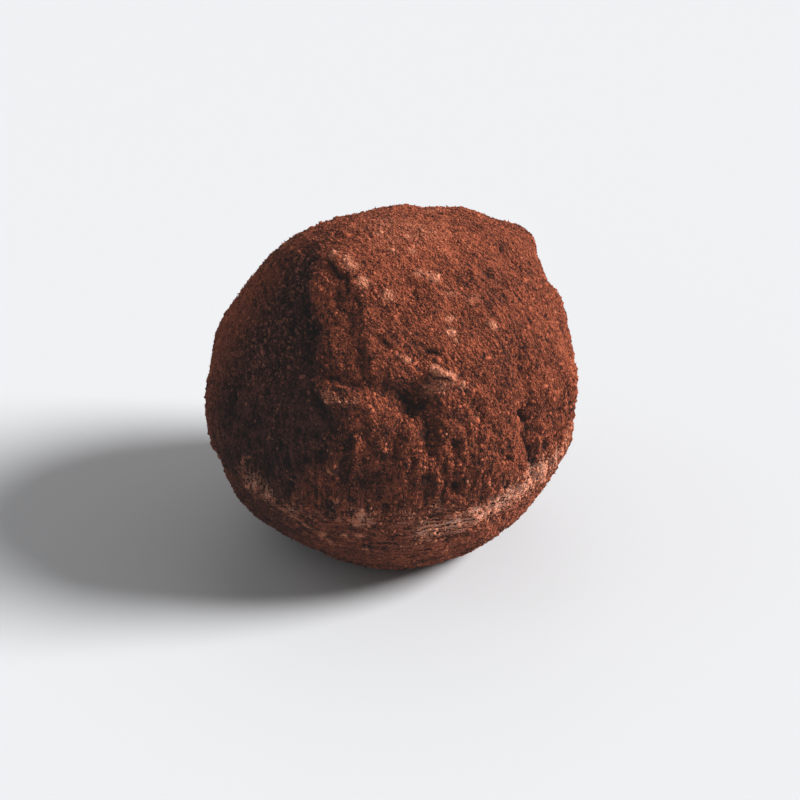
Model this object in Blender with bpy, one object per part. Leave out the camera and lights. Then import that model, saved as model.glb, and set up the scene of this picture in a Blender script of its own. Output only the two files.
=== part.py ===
"""Champagne truffle: one hand-rolled ball of soft ganache in a thick, crumbly coat of cocoa.

The ball starts as a subdivided cube blown up to a sphere. Its surface is then moved in and out
along the radius by a rule: a few flats left by the palms, a pinched peak, a torn crevice with a
deep pit at its end, drag marks below it, dents, worn lips, and the coat's lumps. The ball rests
on a small flat foot. The origin is on the table under the middle of the ball, +Z up, the front
towards -Y. Angles are in degrees: azimuth 0 is the front and grows to the right (+X), elevation
is measured from the middle of the ball. All lengths are metres.
"""

from __future__ import annotations

from dataclasses import dataclass

import bmesh
import bpy
import numpy as np

MM = 0.001

BALL_RADIUS = 14.95 * MM
CENTRE_HEIGHT = 12.2 * MM
CENTRE_X = 0.03 * MM
CENTRE_Y = -0.26 * MM
FACE_CUTS = 30
FLAT_SHARPNESS = 46.0
BOWL_SLOPE = 50.0
BOWL_DISTANCE = 14.75 * MM
RING_LATITUDE = -12.5
COAT_STEP = 0.18 * MM

COCOA_COLOUR = (0.20, 0.058, 0.033, 1.0)
COCOA_ROUGHNESS = 0.92


@dataclass(frozen=True)
class Flat:
    """A flat pressed by a palm: the plane square to a direction, at a distance from the middle."""

    azimuth: float
    elevation: float
    distance: float


@dataclass(frozen=True)
class Knob:
    """A round rise, or a dent where the height is negative."""

    azimuth: float
    elevation: float
    size: float
    height: float


@dataclass(frozen=True)
class Stroke:
    """A long mark along a path of (azimuth, elevation) points.

    A ridge rises and a groove sinks on both sides of the path. A scarp is a torn edge: the
    ground on the left of the path's direction stands higher than on its right.
    """

    kind: str
    width: float
    height: float
    path: tuple[tuple[float, float], ...]


FLATS = (
    Flat(94, 23, 14.70 * MM),
    Flat(180, 72, 14.45 * MM),
    Flat(127, 60, 15.50 * MM),
    Flat(-141, 53, 14.15 * MM),
    Flat(-107, 35, 14.35 * MM),
    Flat(-91, 9, 14.70 * MM),
    Flat(85, -5, 14.72 * MM),
    Flat(71, -23, 14.90 * MM),
    Flat(54, -38, 15.00 * MM),
    Flat(-40, -49, 14.55 * MM),
    Flat(-66, -30, 15.20 * MM),
    Flat(-66, 38, 13.75 * MM),
    Flat(-27, 42, 14.40 * MM),
    Flat(14, 52, 14.15 * MM),
    Flat(30, 22, 14.45 * MM),
    Flat(4, 4, 14.35 * MM),
    Flat(-37, 5, 14.15 * MM),
    Flat(160, 20, 14.40 * MM),
    Flat(-150, 8, 14.50 * MM),
    Flat(130, -12, 14.50 * MM),
    Flat(-110, -25, 14.50 * MM),
    Flat(-50, 25, 13.80 * MM),
)

PEAK = Knob(126, 40, 4.2 * MM, 4.4 * MM)

KNOBS = (
    # the peak's tip and the hollows beside it
    Knob(124, 39, 1.5 * MM, 0.55 * MM),
    Knob(114, 33, 1.5 * MM, -1.10 * MM),
    Knob(104, 26, 1.8 * MM, 0.45 * MM),
    Knob(138, 47, 1.6 * MM, -0.05 * MM),
    Knob(140, 54, 1.8 * MM, 0.22 * MM),
    Knob(102, 20, 2.6 * MM, 0.28 * MM),
    # the right flank and the rise on the front
    Knob(-68, -32, 3.0 * MM, 0.35 * MM),
    Knob(81, -15, 2.3 * MM, 0.40 * MM),
    Knob(70, 12, 3.2 * MM, 0.45 * MM),
    Knob(22, 44, 3.6 * MM, 0.25 * MM),
    # the pit, in hollows that run into each other
    Knob(5, 27, 1.35 * MM, -0.90 * MM),
    Knob(10, 25, 1.35 * MM, -0.90 * MM),
    Knob(7, 21, 1.00 * MM, -0.60 * MM),
    Knob(13, 17.5, 1.00 * MM, -0.50 * MM),
    Knob(12, 11, 0.90 * MM, -0.30 * MM),
    Knob(1, 21, 1.30 * MM, -0.20 * MM),
    # smooth hollows
    Knob(-20, 37, 1.9 * MM, -0.12 * MM),
    Knob(-7, 3, 1.8 * MM, -0.45 * MM),
    Knob(-2, -7, 1.0 * MM, -0.40 * MM),
    # dents near the top
    Knob(84, 52, 1.3 * MM, -0.45 * MM),
    Knob(71, 49, 0.9 * MM, 0.30 * MM),
    Knob(61, 69, 1.0 * MM, -0.40 * MM),
    Knob(138, 66, 1.2 * MM, -0.30 * MM),
    # worn lumps on the upper front
    Knob(-16, 61, 0.9 * MM, 0.25 * MM),
    Knob(-1, 58, 0.9 * MM, 0.25 * MM),
    Knob(20, 65, 0.9 * MM, 0.20 * MM),
    Knob(29, 62, 0.9 * MM, 0.20 * MM),
    Knob(25, 43, 0.9 * MM, 0.20 * MM),
    Knob(45, 42, 0.9 * MM, 0.20 * MM),
    # holes on the right
    Knob(46, 13, 0.8 * MM, -0.40 * MM),
    Knob(60, 0, 0.7 * MM, -0.35 * MM),
    Knob(29, 20, 0.8 * MM, -0.35 * MM),
    Knob(20, -3, 0.8 * MM, -0.40 * MM),
    # coarse crumbs on the left
    Knob(-77, 46, 1.1 * MM, 0.20 * MM),
    Knob(-64, 52, 1.2 * MM, 0.25 * MM),
    Knob(-42, 51, 1.3 * MM, -0.30 * MM),
    Knob(-53, 31, 1.2 * MM, 0.25 * MM),
    Knob(-33, 39, 1.1 * MM, -0.30 * MM),
    Knob(-48, 41, 1.0 * MM, 0.20 * MM),
    # marks on the far side
    Knob(165, 38, 2.2 * MM, -0.35 * MM),
    Knob(-165, 25, 2.6 * MM, 0.40 * MM),
    Knob(150, -2, 1.4 * MM, -0.50 * MM),
    Knob(-128, 15, 1.5 * MM, -0.45 * MM),
)

STROKES = (
    Stroke("scarp", 0.40 * MM, 0.45 * MM,
           ((-50, 66), (-43, 64.5), (-38, 63), (-32, 61.5), (-27, 60.5), (-23, 57.5), (-18, 55.5))),
    Stroke("scarp", 0.50 * MM, 0.22 * MM,
           ((-18, 55.5), (-14.5, 52), (-14, 47), (-12, 43), (-10.5, 38), (-8.5, 34))),
    Stroke("scarp", 0.55 * MM, 0.45 * MM, ((-10, 35), (-4, 32), (1, 30), (5, 28))),
    Stroke("ridge", 0.6 * MM, 0.35 * MM, ((-27, 28), (-20, 27), (-13, 26), (-6, 24.5), (-2, 23))),
    Stroke("groove", 0.4 * MM, 0.30 * MM, ((-26, 32.5), (-20, 31.5), (-14, 30.5), (-9, 30))),
    Stroke("ridge", 0.70 * MM, 0.35 * MM, ((15, 35), (18, 32.5), (21, 30.5), (25, 28), (28, 25))),
    Stroke("groove", 0.8 * MM, 0.50 * MM,
           ((46, 40), (50, 31), (49, 22), (46, 14), (44, 7), (46, 1), (48, -6))),
    Stroke("scarp", 0.6 * MM, 0.60 * MM,
           ((-25, 29), (-22, 25.5), (-17, 22.5), (-15, 19), (-15, 15), (-17, 10), (-19, 5),
            (-17, 1))),
    Stroke("scarp", 0.5 * MM, 0.45 * MM,
           ((-52, 63), (-48, 57), (-44, 52.5), (-36, 50), (-31, 46), (-29, 40), (-27.5, 36),
            (-25, 32), (-24, 28.5))),
    Stroke("ridge", 0.4 * MM, 0.20 * MM, ((-38, 25), (-38.5, 18), (-40, 11), (-42, 3))),
    Stroke("ridge", 0.5 * MM, 0.25 * MM,
           ((-51, -4), (-50, -12), (-43, -14), (-36, -16), (-29, -20), (-23, -24), (-18, -30))),
    Stroke("scarp", 0.5 * MM, 0.60 * MM, ((170, 55), (176, 40), (-172, 28), (-168, 12))),
    Stroke("groove", 0.7 * MM, 0.45 * MM, ((-120, 40), (-112, 25), (-118, 10))),
    Stroke("ridge", 0.6 * MM, 0.40 * MM, ((140, 15), (150, 8), (158, -2))),
)


@dataclass(frozen=True)
class DragMarks:
    """A patch of upright furrows where the coat was dragged downwards."""

    azimuth: float
    elevation: float
    half_width: float
    half_height: float
    spacing: float
    length: float
    depth: float


DRAG_MARKS = (
    DragMarks(3, 8, 24, 11, 1.2 * MM, 3.2 * MM, 0.70 * MM),
    DragMarks(170, 2, 26, 10, 1.5 * MM, 4.0 * MM, 0.55 * MM),
)


@dataclass(frozen=True)
class Lumps:
    """Seeded noise over the whole coat: its wavelength, height and seed."""

    wavelength: float
    height: float
    seed: int


COAT_LUMPS = (Lumps(4.0 * MM, 0.16 * MM, 3), Lumps(1.9 * MM, 0.14 * MM, 5))
EDGE_WANDER = (Lumps(2.6 * MM, 0.45 * MM, 21), Lumps(1.1 * MM, 0.22 * MM, 41))


def toward(azimuth: float, elevation: float) -> np.ndarray:
    """The unit direction (sin a cos e, -cos a cos e, sin e) of two angles in degrees."""
    a, e = np.radians(azimuth), np.radians(elevation)
    return np.stack([np.sin(a) * np.cos(e), -np.cos(a) * np.cos(e), np.sin(e)], axis=-1)


def blend(t: np.ndarray) -> np.ndarray:
    """The smooth step 3t^2 - 2t^3 from 0 to 1."""
    t = np.clip(t, 0.0, 1.0)
    return t * t * (3.0 - 2.0 * t)


def away(directions: np.ndarray, azimuth: float, elevation: float) -> np.ndarray:
    """The distance along the ball from a named direction: radius times the angle between."""
    cosine = np.clip(directions @ toward(azimuth, elevation), -1.0, 1.0)
    return np.arccos(cosine) * BALL_RADIUS


def corner_value(corner: np.ndarray, seed: int) -> np.ndarray:
    """A repeatable value from -1 to 1 for each whole-numbered corner, by mixing its bits."""
    primes = np.array([374761393, 668265263, 2147483647], dtype=np.int64)
    mixed = (corner @ primes + seed * 1274126177) & 0xFFFFFFFF
    mixed = ((mixed ^ (mixed >> 13)) * 1103515245) & 0xFFFFFFFF
    mixed = ((mixed ^ (mixed >> 15)) * 2246822519) & 0xFFFFFFFF
    return ((mixed ^ (mixed >> 16)) & 0xFFFF) / 32767.5 - 1.0


def noise(points: np.ndarray, seed: int) -> np.ndarray:
    """Gradient noise: the slopes at a cell's eight corners, blended by a fifth-power fade."""
    cell = np.floor(points).astype(np.int64)
    inside = points - cell
    fade = inside ** 3 * (inside * (inside * 6.0 - 15.0) + 10.0)
    total = np.zeros(len(points))
    for corner in np.ndindex(2, 2, 2):
        step = np.array(corner)
        weight = np.where(step == 1, fade, 1.0 - fade).prod(axis=1)
        offset = inside - step
        slope = sum(corner_value(cell + step, seed + 57 * k) * offset[:, k] for k in range(3))
        total += weight * slope
    return total * 1.2


def lumps_on(directions: np.ndarray, lumps: Lumps, shift: int = 0) -> np.ndarray:
    """The noise of one lump size over the ball, in metres."""
    points = directions * (BALL_RADIUS / lumps.wavelength)
    return lumps.height * noise(points, lumps.seed + shift)


def wandered(directions: np.ndarray) -> np.ndarray:
    """Directions nudged by noise, so that no edge runs as a clean line."""
    nudge = sum(
        np.stack([lumps_on(directions, lumps, 7 * axis) for axis in range(3)], axis=-1)
        for lumps in EDGE_WANDER
    )
    moved = directions + nudge / BALL_RADIUS
    return moved / np.linalg.norm(moved, axis=1, keepdims=True)


def pressed_ball(directions: np.ndarray) -> np.ndarray:
    """The radius of the ball with its flats and its bowl.

    The smallest of the ball, the planes and the cone is taken softly: each limit d is summed as
    d^-k and the sum is raised to -1/k, so edges come out slightly round.
    """
    ball = BALL_RADIUS + PEAK.height * np.exp(
        -(away(directions, PEAK.azimuth, PEAK.elevation) / PEAK.size) ** 2)
    total = (BALL_RADIUS / ball) ** FLAT_SHARPNESS
    for flat in FLATS:
        reach = np.clip(directions @ toward(flat.azimuth, flat.elevation), 0.0, None)
        total += (reach * BALL_RADIUS / flat.distance) ** FLAT_SHARPNESS
    slope = np.radians(BOWL_SLOPE)
    out = np.hypot(directions[:, 0], directions[:, 1])
    reach = np.clip(out * np.cos(slope) - directions[:, 2] * np.sin(slope), 0.0, None)
    total += (reach * BALL_RADIUS / BOWL_DISTANCE) ** FLAT_SHARPNESS
    return BALL_RADIUS * total ** (-1.0 / FLAT_SHARPNESS)


def path_line(path: tuple[tuple[float, float], ...]) -> np.ndarray:
    """Closely spaced directions along a path, its corners eased by averaging neighbours."""
    corners = toward(*np.array(path, dtype=float).T)
    steps = np.linspace(0.0, 1.0, 9)[:-1, None]
    runs = [a * (1.0 - steps) + b * steps for a, b in zip(corners[:-1], corners[1:])]
    line = np.concatenate(runs + [corners[-1:]])
    for _ in range(4):
        line[1:-1] = (line[:-2] + 2.0 * line[1:-1] + line[2:]) / 4.0
    return line / np.linalg.norm(line, axis=1, keepdims=True)


def stroke_height(directions: np.ndarray, stroke: Stroke) -> np.ndarray:
    """The height a stroke adds: its cross profile at the nearest path point, fading at the ends."""
    line = path_line(stroke.path)
    run = np.gradient(line, axis=0)
    run /= np.linalg.norm(run, axis=1, keepdims=True)
    left = np.cross(line, run)
    nearest = np.argmax(directions @ line.T, axis=1)
    side = (directions * left[nearest]).sum(axis=1) * BALL_RADIUS / stroke.width
    along = (directions * run[nearest]).sum(axis=1) * BALL_RADIUS / stroke.width
    part = np.linspace(0.0, 1.0, len(line))
    taper = 0.25 + 0.75 * blend(part / 0.15) * blend((1.0 - part) / 0.15)
    facing = (directions * line[nearest]).sum(axis=1) > 0.5
    if stroke.kind == "scarp":
        lip = 0.5 * (1.0 + np.tanh(1.4 * side))
        lip *= np.exp(-np.clip(side, 0.0, None) * stroke.width / (2.6 * MM))
        profile = lip - 0.45 * np.exp(-((side + 1.1) / 1.1) ** 2)
    elif stroke.kind == "ridge":
        profile = np.exp(-side ** 2)
    else:
        profile = -np.exp(-side ** 2)
    return stroke.height * profile * np.exp(-along ** 2) * taper[nearest] * facing


def drag_height(directions: np.ndarray, marks: DragMarks) -> np.ndarray:
    """Furrows: noise drawn out along the height, inside a patch that fades at its edge."""
    azimuth = np.degrees(np.arctan2(directions[:, 0], -directions[:, 1])) - marks.azimuth
    azimuth = (azimuth + 180.0) % 360.0 - 180.0
    elevation = np.degrees(np.arcsin(directions[:, 2])) - marks.elevation
    patch = np.exp(-(azimuth / marks.half_width) ** 4 - (elevation / marks.half_height) ** 4)
    across = np.radians(azimuth) * BALL_RADIUS / marks.spacing
    down = np.radians(elevation) * BALL_RADIUS / marks.length
    furrow = noise(np.stack([across, down, across * 0.3], axis=-1), 77)
    return marks.depth * patch * furrow


def coat_step(directions: np.ndarray) -> np.ndarray:
    """The crumbly coat stands proud of the rubbed bowl below a wavy ring round the ball."""
    elevation = np.degrees(np.arcsin(directions[:, 2]))
    azimuth = np.arctan2(directions[:, 0], -directions[:, 1])
    edge = RING_LATITUDE + 1.8 * np.sin(2.0 * azimuth + 0.6) + 1.2 * np.sin(5.0 * azimuth)
    return COAT_STEP * (blend((elevation - edge) / 6.0 + 0.5) - 0.5)


def truffle_radius(directions: np.ndarray) -> np.ndarray:
    """The whole rule: pressed ball, knobs, strokes, furrows, coat step and lumps, on a flat foot."""
    radius = pressed_ball(directions)
    moved = wandered(directions)
    for knob in KNOBS:
        where = directions if knob.size > 2.0 * MM else moved
        radius += knob.height * np.exp(
            -(away(where, knob.azimuth, knob.elevation) / knob.size) ** 2)
    for stroke in STROKES:
        radius += stroke_height(moved, stroke)
    for marks in DRAG_MARKS:
        radius += drag_height(moved, marks)
    radius += coat_step(moved)
    for lumps in COAT_LUMPS:
        radius += lumps_on(directions, lumps)
    foot = CENTRE_HEIGHT / np.clip(-directions[:, 2], 1e-6, None)
    return np.minimum(radius, foot)


def even_directions(points: np.ndarray) -> np.ndarray:
    """Cube points (sides from -1 to 1) blown up to a sphere, spaced by equal angles."""
    spread = np.tan(points * (np.pi / 4.0))
    return spread / np.linalg.norm(spread, axis=1, keepdims=True)


def cocoa_material() -> bpy.types.Material:
    """Matt dark brown cocoa."""
    material = bpy.data.materials.new("cocoa_coat")
    material.use_nodes = True
    surface = material.node_tree.nodes["Principled BSDF"]
    surface.inputs["Base Color"].default_value = COCOA_COLOUR
    surface.inputs["Roughness"].default_value = COCOA_ROUGHNESS
    surface.inputs["Metallic"].default_value = 0.0
    return material


def build_truffle(collection: bpy.types.Collection) -> bpy.types.Object:
    """The truffle as one closed solid: a subdivided cube shaped by the radius rule."""
    shape = bmesh.new()
    bmesh.ops.create_cube(shape, size=2.0)
    bmesh.ops.subdivide_edges(shape, edges=shape.edges[:], cuts=FACE_CUTS, use_grid_fill=True)
    points = np.array([vertex.co[:] for vertex in shape.verts])
    directions = even_directions(points)
    placed = directions * truffle_radius(directions)[:, None]
    placed += np.array([CENTRE_X, CENTRE_Y, CENTRE_HEIGHT])
    for vertex, point in zip(shape.verts, placed):
        vertex.co = point
    bmesh.ops.triangulate(shape, faces=shape.faces[:], quad_method="SHORT_EDGE")
    bmesh.ops.recalc_face_normals(shape, faces=shape.faces[:])
    mesh = bpy.data.meshes.new("truffle")
    shape.to_mesh(mesh)
    shape.free()
    mesh.materials.append(cocoa_material())
    truffle = bpy.data.objects.new("truffle", mesh)
    collection.objects.link(truffle)
    return truffle


def main() -> None:
    """Clear the scene and build the truffle in its own collection."""
    for thing in list(bpy.data.objects):
        bpy.data.objects.remove(thing, do_unlink=True)
    collection = bpy.data.collections.new("champagne_truffle")
    bpy.context.scene.collection.children.link(collection)
    build_truffle(collection)


main()
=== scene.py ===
"""Looks of the champagne truffle: a pressed ball of ganache under a thick, crumbly cocoa coat.

The coat is one closed surface over six grids, its radius a rule of azimuth and elevation: the
same flats, peak, crevice and pit as the solid, with finer crumbs, upright furrows and the rubbed
streaks of the lower bowl. Loose cocoa grains and crumbs, each a small closed stone, lie half
sunk in it. Angles are in degrees: azimuth 0 is the front (-Y) and grows to the right (+X).
"""

import logging
from dataclasses import dataclass, field
from enum import Enum
from math import cos, pi, radians, sin

import bpy
import numpy as np
from mathutils import Matrix, Vector


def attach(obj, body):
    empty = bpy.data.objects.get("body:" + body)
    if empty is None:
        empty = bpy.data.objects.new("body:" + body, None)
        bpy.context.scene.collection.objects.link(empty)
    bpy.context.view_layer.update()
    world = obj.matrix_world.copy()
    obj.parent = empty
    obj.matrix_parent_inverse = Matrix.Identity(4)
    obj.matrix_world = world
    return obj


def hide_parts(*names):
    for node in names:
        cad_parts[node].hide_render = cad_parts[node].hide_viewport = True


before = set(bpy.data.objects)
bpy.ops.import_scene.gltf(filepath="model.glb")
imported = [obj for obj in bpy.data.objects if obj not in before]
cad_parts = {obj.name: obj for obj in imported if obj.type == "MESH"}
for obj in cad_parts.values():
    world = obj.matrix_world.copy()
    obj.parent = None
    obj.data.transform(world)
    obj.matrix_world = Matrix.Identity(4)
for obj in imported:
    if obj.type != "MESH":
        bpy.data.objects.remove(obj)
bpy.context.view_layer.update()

LOG = logging.getLogger("truffle")
MM = 0.001
Colour = tuple[float, float, float]


# Repeatable noise

def corner_value(corner: np.ndarray, seed: int) -> np.ndarray:
    """Give each whole-numbered corner a repeatable value, by mixing the bits of its index.

    Args:
        corner: whole numbers, one row of three per corner.
        seed: picks another set of values.

    Returns:
        Values from -1 to 1, one per row.
    """
    primes = np.array([374761393, 668265263, 2147483647], dtype=np.int64)
    mixed = (corner @ primes + seed * 1274126177) & 0xFFFFFFFF
    mixed = ((mixed ^ (mixed >> 13)) * 1103515245) & 0xFFFFFFFF
    mixed = ((mixed ^ (mixed >> 15)) * 2246822519) & 0xFFFFFFFF
    return ((mixed ^ (mixed >> 16)) & 0xFFFF) / 32767.5 - 1.0


def noise(points: np.ndarray, seed: int) -> np.ndarray:
    """Gradient noise: the slopes at a cell's eight corners, blended by a fifth-power fade.

    Args:
        points: rows of three coordinates, one cell per unit.
        seed: picks another field.

    Returns:
        Values of roughly -1 to 1, one per row.
    """
    cell = np.floor(points).astype(np.int64)
    inside = points - cell
    fade = inside ** 3 * (inside * (inside * 6.0 - 15.0) + 10.0)
    total = np.zeros(len(points))
    for corner in np.ndindex(2, 2, 2):
        step = np.array(corner)
        weight = np.where(step == 1, fade, 1.0 - fade).prod(axis=1)
        offset = inside - step
        slope = sum(corner_value(cell + step, seed + 57 * k) * offset[:, k] for k in range(3))
        total += weight * slope
    return total * 1.2


def blend(t: np.ndarray) -> np.ndarray:
    """The smooth step 3t^2 - 2t^3 from 0 to 1."""
    t = np.clip(t, 0.0, 1.0)
    return t * t * (3.0 - 2.0 * t)


def toward(azimuth: np.ndarray | float, elevation: np.ndarray | float) -> np.ndarray:
    """The unit direction (sin a cos e, -cos a cos e, sin e) of two angles in degrees."""
    a, e = np.radians(azimuth), np.radians(elevation)
    return np.stack([np.sin(a) * np.cos(e), -np.cos(a) * np.cos(e), np.sin(e)], axis=-1)


def angles_of(directions: np.ndarray) -> tuple[np.ndarray, np.ndarray]:
    """Azimuth and elevation of unit directions, in degrees."""
    azimuth = np.degrees(np.arctan2(directions[:, 0], -directions[:, 1]))
    return azimuth, np.degrees(np.arcsin(np.clip(directions[:, 2], -1.0, 1.0)))


# The form of the ball

class Mark(Enum):
    """What a long mark does to the ground beside its path."""

    RIDGE = "rises on both sides of the path"
    GROOVE = "sinks on both sides of the path"
    SCARP = "a torn edge: higher on the left of the path's direction"


@dataclass(frozen=True)
class Flat:
    """A flat pressed by a palm: the plane square to a direction, at a distance in millimetres."""

    azimuth: float
    elevation: float
    distance: float


@dataclass(frozen=True)
class Knob:
    """A round rise, or a dent where the height is negative; size and height in millimetres."""

    azimuth: float
    elevation: float
    size: float
    height: float


@dataclass(frozen=True)
class Stroke:
    """A long mark along a path of (azimuth, elevation) points; width and height in millimetres."""

    kind: Mark
    width: float
    height: float
    path: tuple[tuple[float, float], ...]


@dataclass(frozen=True)
class Furrows:
    """A patch of upright furrows, dragged downwards; lengths in millimetres."""

    azimuth: float
    elevation: float
    half_width: float
    half_height: float
    spacing: float
    length: float
    depth: float


@dataclass(frozen=True)
class Lumps:
    """Seeded noise over the whole coat: its wavelength and height in millimetres, and its seed."""

    wavelength: float
    height: float
    seed: int


@dataclass(frozen=True)
class Wave:
    """A sine round the ball: its height in degrees, waves in a full turn, and phase."""

    height: float
    count: float
    phase: float


@dataclass(frozen=True)
class Drawn:
    """Noise drawn out over the coat: wavelengths and height in millimetres, and its seed."""

    across: float
    down: float
    height: float
    seed: int


@dataclass(frozen=True)
class Zone:
    """A round patch of the coat with its own texture: its place, its radius in millimetres."""

    azimuth: float
    elevation: float
    size: float
    strength: float = 1.0


FLATS = (
    Flat(94, 23, 14.70), Flat(180, 72, 14.45), Flat(127, 60, 15.50), Flat(-141, 53, 14.15),
    Flat(-107, 35, 14.35), Flat(-91, 9, 14.70), Flat(85, -5, 14.72), Flat(71, -23, 14.90),
    Flat(54, -38, 15.00), Flat(-40, -49, 14.55), Flat(-66, -30, 15.20), Flat(-66, 38, 13.75),
    Flat(-27, 42, 14.40), Flat(14, 52, 14.15), Flat(30, 22, 14.45), Flat(4, 4, 14.35),
    Flat(-37, 5, 14.15), Flat(160, 20, 14.40), Flat(-150, 8, 14.50), Flat(130, -12, 14.50),
    Flat(-110, -25, 14.50), Flat(-50, 25, 13.80),
)

KNOBS = (
    # the peak's tip and the hollows beside it
    Knob(124, 39, 1.5, 0.55), Knob(114, 33, 1.5, -1.10), Knob(104, 26, 1.8, 0.45),
    Knob(138, 47, 1.6, -0.05), Knob(140, 54, 1.8, 0.22), Knob(102, 20, 2.6, 0.28),
    # the bulge low on the left, the right flank and the rise on the front
    Knob(-68, -32, 3.0, 0.35), Knob(81, -15, 2.3, 0.40), Knob(70, 12, 3.2, 0.45),
    Knob(22, 44, 3.6, 0.25),
    # the pit, in hollows that run into each other
    Knob(5, 27, 1.35, -0.90), Knob(10, 25, 1.35, -0.90), Knob(7, 21, 1.00, -0.60),
    Knob(13, 17.5, 1.00, -0.50), Knob(12, 11, 0.90, -0.30), Knob(1, 21, 1.30, -0.20),
    # smooth hollows
    Knob(-20, 37, 1.9, -0.12), Knob(-7, 3, 1.8, -0.45), Knob(-2, -7, 1.0, -0.40),
    # dents near the top
    Knob(84, 52, 1.3, -0.45), Knob(71, 49, 0.9, 0.30), Knob(61, 69, 1.0, -0.40),
    Knob(138, 66, 1.2, -0.30),
    # worn lumps on the upper front
    Knob(-16, 61, 0.9, 0.25), Knob(-1, 58, 0.9, 0.25), Knob(20, 65, 0.9, 0.20),
    Knob(29, 62, 0.9, 0.20), Knob(25, 43, 0.9, 0.20), Knob(45, 42, 0.9, 0.20),
    # holes on the right
    Knob(46, 13, 0.8, -0.40), Knob(60, 0, 0.7, -0.35), Knob(29, 20, 0.8, -0.35),
    Knob(20, -3, 0.8, -0.40),
    # coarse crumbs on the left
    Knob(-77, 46, 1.1, 0.20), Knob(-64, 52, 1.2, 0.25), Knob(-42, 51, 1.3, -0.30),
    Knob(-53, 31, 1.2, 0.25), Knob(-33, 39, 1.1, -0.30), Knob(-48, 41, 1.0, 0.20),
    # marks on the far side
    Knob(165, 38, 2.2, -0.35), Knob(-165, 25, 2.6, 0.40), Knob(150, -2, 1.4, -0.50),
    Knob(-128, 15, 1.5, -0.45),
)

STROKES = (
    Stroke(Mark.SCARP, 0.40, 0.45,
           ((-50, 66), (-43, 64.5), (-38, 63), (-32, 61.5), (-27, 60.5), (-23, 57.5), (-18, 55.5))),
    Stroke(Mark.SCARP, 0.50, 0.22,
           ((-18, 55.5), (-14.5, 52), (-14, 47), (-12, 43), (-10.5, 38), (-8.5, 34))),
    Stroke(Mark.SCARP, 0.55, 0.45, ((-10, 35), (-4, 32), (1, 30), (5, 28))),
    Stroke(Mark.RIDGE, 0.6, 0.35, ((-27, 28), (-20, 27), (-13, 26), (-6, 24.5), (-2, 23))),
    Stroke(Mark.GROOVE, 0.4, 0.30, ((-26, 32.5), (-20, 31.5), (-14, 30.5), (-9, 30))),
    Stroke(Mark.RIDGE, 0.70, 0.35, ((15, 35), (18, 32.5), (21, 30.5), (25, 28), (28, 25))),
    Stroke(Mark.GROOVE, 0.8, 0.50,
           ((46, 40), (50, 31), (49, 22), (46, 14), (44, 7), (46, 1), (48, -6))),
    Stroke(Mark.SCARP, 0.6, 0.60,
           ((-25, 29), (-22, 25.5), (-17, 22.5), (-15, 19), (-15, 15), (-17, 10), (-19, 5),
            (-17, 1))),
    Stroke(Mark.SCARP, 0.5, 0.45,
           ((-52, 63), (-48, 57), (-44, 52.5), (-36, 50), (-31, 46), (-29, 40), (-27.5, 36),
            (-25, 32), (-24, 28.5))),
    Stroke(Mark.RIDGE, 0.4, 0.20, ((-38, 25), (-38.5, 18), (-40, 11), (-42, 3))),
    Stroke(Mark.RIDGE, 0.5, 0.25,
           ((-51, -4), (-50, -12), (-43, -14), (-36, -16), (-29, -20), (-23, -24), (-18, -30))),
    Stroke(Mark.SCARP, 0.5, 0.60, ((170, 55), (176, 40), (-172, 28), (-168, 12))),
    Stroke(Mark.GROOVE, 0.7, 0.45, ((-120, 40), (-112, 25), (-118, 10))),
    Stroke(Mark.RIDGE, 0.6, 0.40, ((140, 15), (150, 8), (158, -2))),
)

DRAG_MARKS = (
    Furrows(3, 8, 24, 11, 1.2, 3.2, 0.70),
    Furrows(170, 2, 26, 10, 1.5, 4.0, 0.55),
)

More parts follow.
